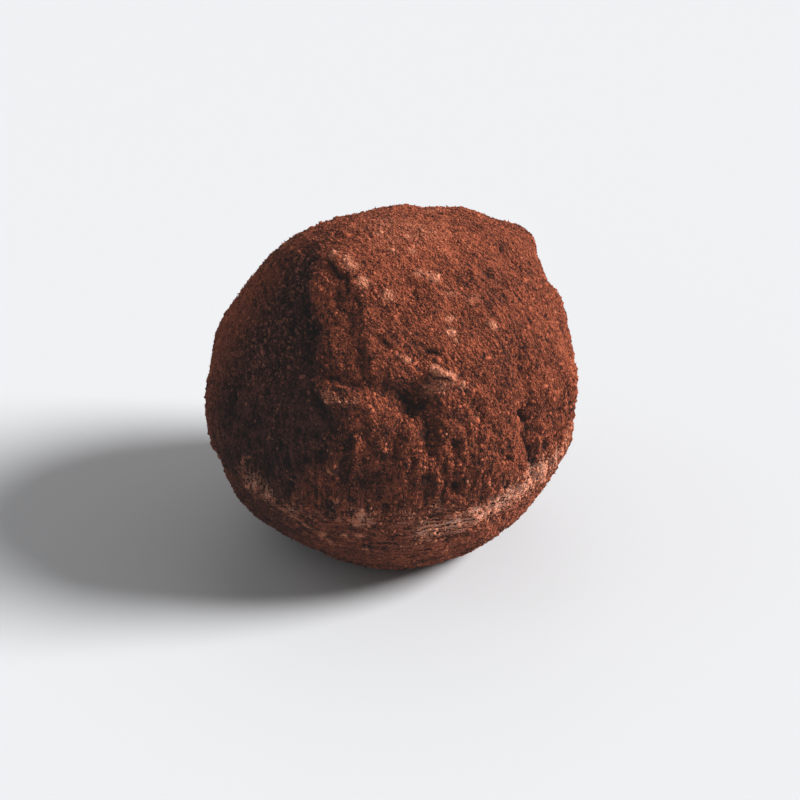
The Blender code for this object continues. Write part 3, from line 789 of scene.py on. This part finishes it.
def mesh_from(name: str, points: np.ndarray, faces: np.ndarray) -> bpy.types.Mesh:
    """Put whole arrays into a mesh.

    Args:
        name: the mesh's name.
        points: vertex positions in metres, one per row.
        faces: vertex numbers, one face per row, all with the same number of corners.

    Returns:
        The new mesh.
    """
    mesh = bpy.data.meshes.new(name)
    mesh.vertices.add(len(points))
    mesh.vertices.foreach_set("co", points.astype(np.float32).ravel())
    mesh.loops.add(faces.size)
    mesh.loops.foreach_set("vertex_index", faces.astype(np.int32).ravel())
    mesh.polygons.add(len(faces))
    starts = np.arange(0, faces.size, faces.shape[1], dtype=np.int32)
    mesh.polygons.foreach_set("loop_start", starts)
    mesh.update(calc_edges=True)
    return mesh


def add_values(mesh: bpy.types.Mesh, name: str, values: np.ndarray) -> None:
    """Store one number per vertex under a name that a finish can read."""
    layer = mesh.attributes.new(name, "FLOAT", "POINT")
    layer.data.foreach_set("value", values.astype(np.float32))


def add_layout(mesh: bpy.types.Mesh, corners: np.ndarray) -> None:
    """Store one flat-layout point per face corner, for the finish to be laid out on."""
    layer = mesh.uv_layers.new(name="OFBake")
    layer.data.foreach_set("uv", corners.astype(np.float32).ravel())


def place(name: str, mesh: bpy.types.Mesh, material: bpy.types.Material) -> bpy.types.Object:
    """Make the piece's object at the origin, dress it and let it stand for the solid."""
    mesh.materials.append(material)
    piece = bpy.data.objects.new(name, mesh)
    bpy.context.scene.collection.objects.link(piece)
    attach(piece, "root")
    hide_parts("truffle")
    LOG.info("%s: %d faces", name, len(mesh.polygons))
    return piece


# Shader sheets

class Wire:
    """A socket of a shader sheet that can be used in Python arithmetic."""

    def __init__(self, sheet: "Sheet", socket: bpy.types.NodeSocket) -> None:
        """Keep the sheet and its socket."""
        self.sheet = sheet
        self.socket = socket

    def reckon(self, operation: str, first: "Wire | float", second: "Wire | float") -> "Wire":
        """One Math node on two values."""
        return self.sheet.node("ShaderNodeMath", {"operation": operation}, {0: first, 1: second})

    def __add__(self, other: "Wire | float") -> "Wire":
        """Sum."""
        return self.reckon("ADD", self, other)

    def __radd__(self, other: float) -> "Wire":
        """Sum, reflected."""
        return self.reckon("ADD", other, self)

    def __sub__(self, other: "Wire | float") -> "Wire":
        """Difference."""
        return self.reckon("SUBTRACT", self, other)

    def __rsub__(self, other: float) -> "Wire":
        """Difference, reflected."""
        return self.reckon("SUBTRACT", other, self)

    def __mul__(self, other: "Wire | float") -> "Wire":
        """Product."""
        return self.reckon("MULTIPLY", self, other)

    def __rmul__(self, other: float) -> "Wire":
        """Product, reflected."""
        return self.reckon("MULTIPLY", other, self)


class Sheet:
    """One material's shader tree, with a single way to add a node."""

    def __init__(self, name: str) -> None:
        """Start an empty material with its surface and output joined."""
        self.material = bpy.data.materials.new(name)
        self.material.use_nodes = True
        self.tree = self.material.node_tree
        self.tree.nodes.clear()
        self.surface = self.tree.nodes.new("ShaderNodeBsdfPrincipled")
        output = self.tree.nodes.new("ShaderNodeOutputMaterial")
        self.tree.links.new(self.surface.outputs[0], output.inputs["Surface"])

    def node(self, kind: str, settings: dict | None = None, inputs: dict | None = None,
             output: int | str = 0) -> Wire:
        """Add one node.

        Args:
            kind: the node's type.
            settings: its properties, set before its sockets; "stops" fills a ramp with
                (place, colour) pairs.
            inputs: socket names or numbers, each with a value or a Wire.
            output: the output socket to hand back.

        Returns:
            The chosen output.
        """
        node = self.tree.nodes.new(kind)
        for key, value in (settings or {}).items():
            if key == "stops":
                ramp = node.color_ramp.elements
                while len(ramp) < len(value):
                    ramp.new(0.5)
                for stop, (at, colour) in zip(ramp, value):
                    stop.position = at
                    stop.color = (*colour, 1.0)
            else:
                setattr(node, key, value)
        for key, value in (inputs or {}).items():
            self.feed(node.inputs[key], value)
        return Wire(self, node.outputs[output])

    def feed(self, socket: bpy.types.NodeSocket, value: "Wire | float | tuple") -> None:
        """Set a socket's value, or link a wire to it."""
        if isinstance(value, Wire):
            self.tree.links.new(value.socket, socket)
        elif isinstance(value, tuple) and len(value) == 3 and socket.type == "RGBA":
            socket.default_value = (*value, 1.0)
        else:
            socket.default_value = value

    def place(self) -> Wire:
        """Object coordinates."""
        return self.node("ShaderNodeTexCoord", output="Object")

    def value(self, name: str) -> Wire:
        """A number stored per vertex under a name."""
        return self.node("ShaderNodeAttribute", {"attribute_name": name}, output="Fac")

    def grain(self, where: Wire, size: float, stretch: Colour = (1.0, 1.0, 1.0),
              detail: float = 2.0, rough: float = 0.6) -> Wire:
        """Noise from 0 to 1 with lumps of about a size in metres, squeezed along each axis."""
        squeezed = self.node("ShaderNodeVectorMath", {"operation": "MULTIPLY"},
                             {0: where, 1: stretch})
        return self.node("ShaderNodeTexNoise", {"noise_dimensions": "3D"},
                         {"Vector": squeezed, "Scale": 0.5 / size, "Detail": detail,
                          "Roughness": rough})

    def step(self, value: Wire, low: float, high: float) -> Wire:
        """A smooth rise from 0 at low to 1 at high."""
        return self.node("ShaderNodeMapRange", {"interpolation_type": "SMOOTHSTEP"},
                         {"Value": value, "From Min": low, "From Max": high})

    def mix(self, factor: "Wire | float", first: "Wire | Colour",
            second: "Wire | Colour") -> Wire:
        """A colour between two, by a factor."""
        return self.node("ShaderNodeMix", {"data_type": "RGBA"},
                         {0: factor, 6: first, 7: second}, output=2)

    def dress(self, colour: "Wire | Colour", roughness: float, shine: float) -> None:
        """Feed the surface its colour, roughness and shine."""
        self.feed(self.surface.inputs["Base Color"], colour)
        self.feed(self.surface.inputs["Roughness"], roughness)
        self.feed(self.surface.inputs["Specular IOR Level"], shine)

    def scaled(self, colour: "Wire | Colour", by: Wire) -> Wire:
        """A colour made lighter or darker by a number."""
        return self.node("ShaderNodeVectorMath", {"operation": "SCALE"}, {0: colour, 3: by})


@dataclass(frozen=True)
class CoatFinish:
    """The cocoa coat: matt brown powder, with painted shade in its gaps and on the left flank and
    bowl, a painted rim light at the left edge, pale where worn, brushed at the ring.
    """

    deep: Colour = (0.013, 0.0055, 0.005)
    dim: Colour = (0.080, 0.021, 0.011)
    brown: Colour = (0.190, 0.043, 0.018)
    warm: Colour = (0.350, 0.086, 0.040)
    pressed: Colour = (0.024, 0.0085, 0.0075)
    pale: Colour = (0.660, 0.240, 0.135)
    brushed: Colour = (0.800, 0.430, 0.310)
    lump_size: float = 1.3 * MM
    clot_size: float = 0.45 * MM
    crumb_size: float = 0.28 * MM
    dust_size: float = 0.075 * MM
    upright_size: float = 0.13 * MM
    upright_draw: float = 0.20
    slanted_size: float = 0.12 * MM
    slanted_squeeze: float = 0.8
    layered_size: float = 0.70 * MM
    layered_draw: float = 6.0
    bump_height: float = 0.25 * MM
    roughness: float = 0.90
    shine: float = 0.08

    def material(self) -> bpy.types.Material:
        """Build the finish.

        A tone of lumps, crumbs, dust and drawn-out grain runs through a ramp of browns. Painted
        shade on the flank and bowl (partly pressed ground), painted shade in gaps, worn ground and
        the brushed ring are mixed over it in that order.

        Returns:
            The material, laid out on Object coordinates and the coat's stored values.
        """
        sheet = Sheet("cocoa_coat")
        where = sheet.place()
        broad = sheet.grain(where, self.lump_size)
        small = sheet.grain(where, self.crumb_size)
        dust = sheet.grain(where, self.dust_size)
        upright = sheet.grain(where, self.upright_size, (1.0, 1.0, self.upright_draw))
        slanted = sheet.grain(self.squeezed(sheet, where), self.slanted_size)
        layered = sheet.grain(where, self.layered_size, (1.0, 1.0, self.layered_draw))
        drawn = sheet.value("upright") * (upright - 0.5) + sheet.value("layered") * (layered - 0.5)
        drawn = drawn + sheet.value("slanted") * (slanted - 0.5)
        tone = broad * 0.22 + small * 0.26 + dust * 0.52 + drawn * 0.75
        # lighter and darker patches, with a painted rim light at the left edge
        tone = tone + sheet.value("lift") * 0.075
        colour = sheet.node("ShaderNodeValToRGB", {"stops": [
            (0.34, self.deep), (0.43, self.dim), (0.50, self.brown), (0.60, self.warm)]},
            {"Fac": tone})
        clots = sheet.grain(where, self.clot_size, detail=1.0)
        # painted shade: the left flank, turned from the key light, and the bowl are darkened toward
        # a dull brown, partly pressed thin cocoa
        pressed_and_shade_colour = sheet.scaled(self.pressed, tone * 9.0 + (clots - 0.5) * 5.0 - 3.5)
        colour = sheet.mix(sheet.value("pressed") * 0.95, colour, pressed_and_shade_colour)
        # painted shade: gaps, pits and cracks are darkened toward the deep brown
        colour = sheet.mix(sheet.value("hollow") * 0.9, colour, self.deep)
        rubbed = sheet.step(sheet.value("worn") + (small - 0.5) * 1.2 + (dust - 0.5), 0.15, 0.60)
        colour = sheet.mix(rubbed * sheet.value("worn") * 0.95, colour, self.pale)
        strands = sheet.step(sheet.value("ring") * 0.5 + drawn * 1.3 + (dust - 0.5) * 0.6,
                             0.24, 0.46)
        colour = sheet.mix(strands * sheet.value("ring") * 0.9, colour, self.brushed)
        sheet.dress(colour, self.roughness, self.shine)
        bump = sheet.node("ShaderNodeBump", None, {
            "Strength": 1.0, "Distance": self.bump_height,
            "Height": dust * 1.5 + small * 1.0 + drawn * 1.2})
        sheet.feed(sheet.surface.inputs["Normal"], bump)
        return sheet.material

    def squeezed(self, sheet: Sheet, where: Wire) -> Wire:
        """Places squeezed along the slanted axis, so that noise there is drawn out along it."""
        axis = tuple(Vector(BallForm.slant).normalized())
        along = sheet.node("ShaderNodeVectorMath", {"operation": "DOT_PRODUCT"},
                           {0: where, 1: axis}, output="Value")
        away = sheet.scaled(axis, along * self.slanted_squeeze)
        return sheet.node("ShaderNodeVectorMath", {"operation": "SUBTRACT"}, {0: where, 1: away})


@dataclass(frozen=True)
class GrainFinish:
    """Loose cocoa: its own brown per grain, painted shade and highlights, pale where worn and on
    the ring.
    """

    name: str = "cocoa_grain"
    lump_size: float = 1.3 * MM
    clot_size: float = 0.45 * MM
    dark: Colour = (0.045, 0.013, 0.008)
    brown: Colour = (0.205, 0.047, 0.020)
    light: Colour = (0.400, 0.105, 0.050)
    pressed: Colour = (0.030, 0.0115, 0.0095)
    pale: Colour = (0.690, 0.275, 0.165)
    roughness: float = 0.90
    shine: float = 0.08

    def material(self) -> bpy.types.Material:
        """Build the finish.

        Returns:
            The material, coloured by each grain's stored shade.
        """
        sheet = Sheet(self.name)
        where = sheet.place()
        broad = sheet.grain(where, self.lump_size)
        clots = sheet.grain(where, self.clot_size, detail=1.0)
        shade = sheet.value("shade") + (broad - 0.5) * 1.2
        colour = sheet.node("ShaderNodeValToRGB", {"stops": [
            (0.05, self.dark), (0.50, self.brown), (0.95, self.light)]}, {"Fac": shade})
        # painted shade: grains on the left flank and the bowl take a dull dark brown, partly
        # pressed cocoa
        pressed_and_shade_colour = sheet.scaled(self.pressed, shade * 2.0 + (clots - 0.5) * 5.0)
        colour = sheet.mix(sheet.value("pressed") * 0.95, colour, pressed_and_shade_colour)
        colour = sheet.mix(sheet.value("pale"), colour, self.pale)
        sheet.dress(colour, self.roughness, self.shine)
        return sheet.material


@dataclass(frozen=True)
class FloorFinish:
    """A plain pale matt table."""

    colour: Colour = (0.595, 0.602, 0.615)
    roughness: float = 0.8
    shine: float = 0.1

    def material(self) -> bpy.types.Material:
        """Build the finish."""
        sheet = Sheet("pale_floor")
        sheet.dress(self.colour, self.roughness, self.shine)
        return sheet.material


# The truffle's pieces

class Side(Enum):
    """The six grids of the coat: two directions across, and the one facing out."""

    RIGHT = ((0, 1, 0), (0, 0, 1), (1, 0, 0))
    LEFT = ((0, 0, 1), (0, 1, 0), (-1, 0, 0))
    BACK = ((0, 0, 1), (1, 0, 0), (0, 1, 0))
    FRONT = ((1, 0, 0), (0, 0, 1), (0, -1, 0))
    TOP = ((1, 0, 0), (0, 1, 0), (0, 0, 1))
    UNDER = ((0, 1, 0), (1, 0, 0), (0, 0, -1))


@dataclass
class Coat:
    """The closed coat: six square grids blown up to a ball, each point moved by the form."""

    form: BallForm
    steps: int = 128
    front: tuple[float, float] = (0.0, 20.0)
    crowding: float = 0.28
    margin: float = 0.01
    finish: CoatFinish = field(default_factory=CoatFinish)

    def grid(self, side: Side) -> np.ndarray:
        """One grid's points on the cube: whole numbers from -steps to steps along two edges."""
        run = 2 * np.arange(self.steps + 1) - self.steps
        first, second, out = (np.array(axis) for axis in side.value)
        return run[:, None, None] * first + run[None, :, None] * second + self.steps * out

    def layout(self, number: int) -> np.ndarray:
        """One grid's corners in its cell of a three by two sheet, with a thin margin."""
        inner = 1.0 - 2.0 * self.margin
        run = self.margin + inner * np.arange(self.steps + 1) / self.steps
        across = (number % 3 + run) / 3.0
        up = (number // 3 + run) / 2.0
        return np.stack(np.meshgrid(across, up, indexing="ij"), axis=-1)

    def corners(self, grid: np.ndarray) -> np.ndarray:
        """The four corners of every square of a grid, anticlockwise seen from outside."""
        loops = [grid[:-1, :-1], grid[1:, :-1], grid[1:, 1:], grid[:-1, 1:]]
        return np.stack([loop.reshape(-1, *grid.shape[2:]) for loop in loops], axis=1)

    def build(self) -> bpy.types.Object:
        """Make the coat.

        The grids' points on the cube's edges are shared by their whole numbers. Each point's
        direction spreads the cube's faces by equal angles: the tangent of a quarter turn. Adding
        a fixed vector to all of them crowds the points on the front.

        Returns:
            The dressed piece.
        """
        grids = np.stack([self.grid(side) for side in Side])
        wide = 2 * self.steps + 1
        keys = ((grids + self.steps) @ np.array([wide * wide, wide, 1])).ravel()
        _, first, number = np.unique(keys, return_index=True, return_inverse=True)
        points = grids.reshape(-1, 3)[first] / self.steps
        spread = np.tan(points * (pi / 4.0))
        directions = spread / np.linalg.norm(spread, axis=1, keepdims=True)
        directions = directions + self.crowding * toward(*self.front)
        directions /= np.linalg.norm(directions, axis=1, keepdims=True)
        radius = self.form.radius(directions)
        placed = directions * radius[:, None] + np.array(self.form.centre)
        numbers = number.reshape(len(Side), self.steps + 1, self.steps + 1)
        faces = np.concatenate([self.corners(sheet) for sheet in numbers])
        mesh = mesh_from("coat", placed, faces)
        mesh.shade_smooth()
        self.store(mesh, directions)
        layouts = [self.corners(self.layout(k)) for k in range(len(Side))]
        add_layout(mesh, np.concatenate(layouts).reshape(-1, 2))
        return place("coat", mesh, self.finish.material())

    def store(self, mesh: bpy.types.Mesh, directions: np.ndarray) -> None:
        """Keep the numbers that the finish reads: painted shade of gaps, flank and bowl, worn lips
        and grain.
        """
        crisp = self.form.wandered(directions, self.form.jitter)
        bowl = self.form.bowl(crisp)
        low = self.form.low(crisp)
        # painted shade of gaps, pits and cracks
        add_values(mesh, "hollow", self.form.hollow(directions, crisp))
        add_values(mesh, "worn", self.form.worn(crisp))
        # painted shade of the left flank and the bowl, partly pressed thin cocoa
        add_values(mesh, "pressed", self.form.rubbed(crisp))
        add_values(mesh, "ring", self.form.ring(crisp))
        add_values(mesh, "upright", low * (1.0 - 0.8 * bowl))
        add_values(mesh, "slanted", (1.0 - low) * (1.0 - bowl))
        add_values(mesh, "layered", bowl * (1.0 + 0.7 * self.form.zones(crisp, COARSE)))
        # lighter and darker patches, with a painted rim light at the left edge
        add_values(mesh, "lift", self.form.lift(crisp))


class Stone(Enum):
    """The stock shapes of a grain: two pointed caps on a ring of corners, or a ball of twenty."""

    SHARD = 3
    CRUMB = 5

    def shape(self) -> tuple[np.ndarray, np.ndarray]:
        """The corners on a unit ball and the outward triangles between them."""
        if self is Stone.SHARD:
            turn = np.arange(3) * 2.0 * pi / 3.0
            corners = np.zeros((5, 3))
            corners[:3] = np.stack([np.cos(turn), np.sin(turn), 0.0 * turn], axis=1)
            corners[3:, 2] = (1.0, -1.0)
            k = np.arange(3)
            after = (k + 1) % 3
            return corners, np.concatenate([
                np.stack([k, after, 0 * k + 3], axis=1), np.stack([after, k, 0 * k + 4], axis=1)])
        turn = np.arange(5) * 2.0 * pi / 5.0
        high, level = 1.0 / np.sqrt(5.0), 2.0 / np.sqrt(5.0)
        upper = np.stack([level * np.cos(turn), level * np.sin(turn), np.full(5, high)], axis=1)
        lower = np.stack([level * np.cos(turn + pi / 5), level * np.sin(turn + pi / 5),
                          np.full(5, -high)], axis=1)
        corners = np.concatenate([[[0, 0, 1]], upper, lower, [[0, 0, -1]]])
        k = np.arange(5)
        after = (k + 1) % 5
        sides = np.concatenate([
            np.stack([0 * k, 1 + k, 1 + after], axis=1),
            np.stack([1 + k, 6 + k, 1 + after], axis=1),
            np.stack([1 + after, 6 + k, 6 + after], axis=1),
            np.stack([0 * k + 11, 6 + after, 6 + k], axis=1)])
        return corners, sides


@dataclass
class Grains:
    """One kind of loose grain, scattered over the coat and sunk into it.

    The count is the most that are laid: where the coat is calm, some places are left empty.
    Sizes are radii in millimetres. A grain's middle lies sunk radii under the coat's surface.
    """

    form: BallForm
    name: str
    stone: Stone
    count: int
    smallest: float
    largest: float
    sunk: float
    coarse_power: float
    seed: int
    pieces: int = 1
    evenness: float = 0.5
    longest: float = 1.0
    astray: float = 3.0
    shade_spread: float = 0.32
    stray_pale: float = 0.003
    crowd_seed: int = 17
    crowd_scale: float = 17.0
    lowest: float = -0.80
    clearance: float = 0.02 * MM
    finish: GrainFinish = field(default_factory=GrainFinish)

    def directions(self, rng: np.random.Generator) -> np.ndarray:
        """Where the grains lie: even over the ball, kept more often where the coat is crumbly.

        Args:
            rng: the seeded source of chance.

        Returns:
            One unit direction per grain, sorted round the ball.
        """
        tries = rng.normal(size=(self.count * 3, 3))
        tries /= np.linalg.norm(tries, axis=1, keepdims=True)
        tries = tries[tries[:, 2] > self.lowest]
        coarse = self.form.crumbliness(tries)
        coarse += 0.8 * self.form.shaded_flank(tries) * self.form.zones(tries, COARSE)
        chance = np.clip((self.evenness + coarse) / (self.evenness + 1.0), 0.0, 1.0)
        clumps = 0.75 + 0.7 * noise(tries * self.crowd_scale, self.crowd_seed)
        kept = tries[rng.random(len(tries)) < chance ** self.coarse_power * clumps][: self.count]
        return kept[np.argsort(np.arctan2(kept[:, 1], kept[:, 0]))]

    def build(self) -> list[bpy.types.Object]:
        """Make the grains as a few joined meshes.

        Each grain is the stock stone stretched by chance along its own three axes, its corners
        pulled in or out a little, turned any way, and set at the coat's surface less its sunk
        depth.

        Returns:
            The dressed pieces.
        """
        rng = np.random.default_rng(self.seed)
        directions = self.directions(rng)
        total = len(directions)
        size = self.smallest * (self.largest / self.smallest) ** (rng.random(total) ** 2.0) * MM
        corners, sides = self.stone.shape()
        local = corners[None] * rng.uniform(0.6, 1.4, (total, 1, 3))
        local[..., 2] *= rng.uniform(1.0, self.longest, (total, 1))
        local = local * rng.uniform(0.75, 1.25, (total, len(corners), 1))
        axes = self.turned(rng, directions)
        local = np.einsum("nij,nkj->nki", axes, local) * size[:, None, None]
        depth = self.form.radius(directions) - size * self.sunk
        middle = directions * depth[:, None] + np.array(self.form.centre)
        placed = middle[:, None] + local
        placed[..., 2] = np.maximum(placed[..., 2], self.clearance)
        values = self.values(rng, directions)
        made = []
        material = self.finish.material()
        for part, share in enumerate(np.array_split(np.arange(total), self.pieces)):
            name = self.name if self.pieces == 1 else f"{self.name}_{part + 1}"
            faces = sides[None] + len(corners) * np.arange(len(share))[:, None, None]
            mesh = mesh_from(name, placed[share].reshape(-1, 3), faces.reshape(-1, 3))
            for key, value in values.items():
                add_values(mesh, key, np.repeat(value[share], len(corners)))
            add_layout(mesh, self.cells(corners, sides, len(share)))
            made.append(place(name, mesh, material))
        return made

    def turned(self, rng: np.random.Generator, directions: np.ndarray) -> np.ndarray:
        """Three square axes for each grain, the last roughly along the coat's strands.

        Args:
            rng: the seeded source of chance.
            directions: where the grains lie.

        Returns:
            One matrix per grain, its columns the axes, none of them mirrored.
        """
        along = self.form.strands(directions) + rng.normal(0.0, self.astray, directions.shape)
        guess = rng.normal(size=directions.shape)
        axes = np.linalg.qr(np.stack([along, guess, np.cross(along, guess)], axis=2))[0]
        axes = axes[:, :, [1, 2, 0]]
        axes[np.linalg.det(axes) < 0.0, :, 0] *= -1.0
        return axes

    def values(self, rng: np.random.Generator, directions: np.ndarray) -> dict[str, np.ndarray]:
        """Each grain's shade, paleness and painted flank shade, by chance and by where it lies,
        with painted shade in gaps and painted highlights on some crumbs of the shaded flank.

        Args:
            rng: the seeded source of chance.
            directions: where the grains lie.

        Returns:
            The numbers that the grain finish reads, one per grain.
        """
        total = len(directions)
        crisp = self.form.wandered(directions, self.form.jitter)
        shade = rng.normal(0.5, self.shade_spread, total)
        # painted shade: grains lying in gaps are darkened
        shade -= 0.45 * self.form.hollow(directions, crisp)
        # lighter and darker patches, with a painted rim light at the left edge
        shade += 0.20 * self.form.lift(crisp)
        worn = np.maximum(self.form.worn(crisp), self.form.ring(crisp))
        pale = np.where(rng.random(total) < worn * 1.4,
                        rng.uniform(0.6, 1.0, total) * np.minimum(worn * 1.25, 1.0), 0.0)
        pale = np.maximum(pale, np.where(rng.random(total) < self.stray_pale, 0.6, 0.0))
        # painted shade of the flank and bowl, partly pressed cocoa
        rubbed = self.form.rubbed(crisp)
        # painted highlight: some crumbs on the shaded flank are brightened as if caught by the key
        # light
        lit = rng.random(total) < 0.6 * self.form.zones(directions, COARSE)
        shade = np.clip(shade, 0.0, 1.0) + 1.5 * rubbed * lit
        return {"shade": shade, "pale": pale, "pressed": rubbed * np.where(lit, 0.9, 1.0)}

    def cells(self, corners: np.ndarray, sides: np.ndarray, count: int) -> np.ndarray:
        """Lay each grain flat in its own cell of a square sheet, seen from above."""
        wide = int(np.ceil(np.sqrt(count)))
        number = np.arange(count)
        cell = np.stack([number % wide, number // wide], axis=1)[:, None, :]
        flat = 0.5 + 0.38 * corners[sides.ravel()][None, :, :2]
        return ((cell + flat) / wide).reshape(-1, 2)


@dataclass
class Studio:
    """The table, the lamps and the camera."""

    centre: tuple[float, float, float]
    elevation: float = 30.0
    distance: float = 0.165
    frame_width: float = 0.06452
    shift_right: float = 0.69 * MM
    shift_down: float = 0.89 * MM
    key_from: tuple[float, float, float] = (0.827, 0.0, 0.562)
    key_strength: float = 6.1
    key_angle: float = 0.40
    fills: tuple[tuple[float, float, float, float], ...] = (
        (-0.7, -0.7, 0.7, 0.50), (-0.7, 0.7, 0.7, 0.70), (0.7, 0.7, 0.8, 0.75))
    fill_angle: float = 1.6
    sky: Colour = (0.006, 0.006, 0.006)
    haze: float = 0.010
    floor_reach: float = 3.0
    sensor: float = 36.0

    def build(self) -> None:
        """Make the floor, the lamps, the sky, a slight haze in the blacks and the camera."""
        signs = np.array([[-1, -1, 0], [1, -1, 0], [1, 1, 0], [-1, 1, 0]], dtype=float)
        points = self.floor_reach * signs
        mesh = mesh_from("floor", points, np.array([[0, 1, 2, 3]]))
        mesh.materials.append(FloorFinish().material())
        floor = bpy.data.objects.new("floor", mesh)
        bpy.context.scene.collection.objects.link(floor)
        self.lamp("key", Vector(self.key_from), self.key_strength, self.key_angle)
        for number, (*fill_from, strength) in enumerate(self.fills):
            self.lamp(f"fill_{number + 1}", Vector(fill_from), strength, self.fill_angle)
        world = bpy.data.worlds.new("studio")
        world.use_nodes = True
        world.node_tree.nodes["Background"].inputs[0].default_value = (*self.sky, 1.0)
        bpy.context.scene.world = world
        view = bpy.context.scene.view_settings
        view.view_transform = "Standard"
        view.use_curve_mapping = True
        view.curve_mapping.black_level = (-self.haze,) * 3
        view.curve_mapping.update()
        self.camera()

    def lamp(self, name: str, toward_lamp: Vector, strength: float, angle: float) -> None:
        """Add a soft distant lamp that shines from a direction."""
        light = bpy.data.lights.new(name, "SUN")
        light.energy = strength
        light.angle = angle
        lamp = bpy.data.objects.new(name, light)
        lamp.rotation_euler = toward_lamp.to_track_quat("Z", "Y").to_euler()
        bpy.context.scene.collection.objects.link(lamp)

    def camera(self) -> None:
        """Set the camera in front, tilted down, aimed a little right of and under the middle."""
        tilt = radians(self.elevation)
        right, up = Vector((1, 0, 0)), Vector((0, sin(tilt), cos(tilt)))
        back = Vector((0, -cos(tilt), sin(tilt)))
        spot = Vector(self.centre) + back * self.distance
        spot += right * self.shift_right - up * self.shift_down
        lens = bpy.data.cameras.new("camera")
        lens.sensor_width = self.sensor
        lens.lens = self.sensor * self.distance / self.frame_width
        lens.clip_start = 0.01
        camera = bpy.data.objects.new("camera", lens)
        turn = Matrix((right, up, back)).transposed().to_4x4()
        camera.matrix_world = Matrix.Translation(spot) @ turn
        bpy.context.scene.collection.objects.link(camera)
        bpy.context.scene.camera = camera


def main() -> None:
    """Build the studio, the coat and the grains in order."""
    logging.basicConfig(level=logging.INFO, format="%(name)s %(message)s")
    form = BallForm()
    Studio(centre=form.centre).build()
    Coat(form).build()
    Grains(form, "fine_grains", Stone.SHARD, count=118000, smallest=0.040, largest=0.085,
           sunk=0.1, coarse_power=0.7, seed=7, pieces=4, longest=3.2, astray=0.45).build()
    Grains(form, "crumbs", Stone.CRUMB, count=9000, smallest=0.09, largest=0.19,
           sunk=0.25, coarse_power=1.5, seed=8).build()
    Grains(form, "coarse_crumbs", Stone.CRUMB, count=1500, smallest=0.15, largest=0.27,
           sunk=0.40, coarse_power=5.0, seed=9).build()


if __name__ == "__main__":
    main()
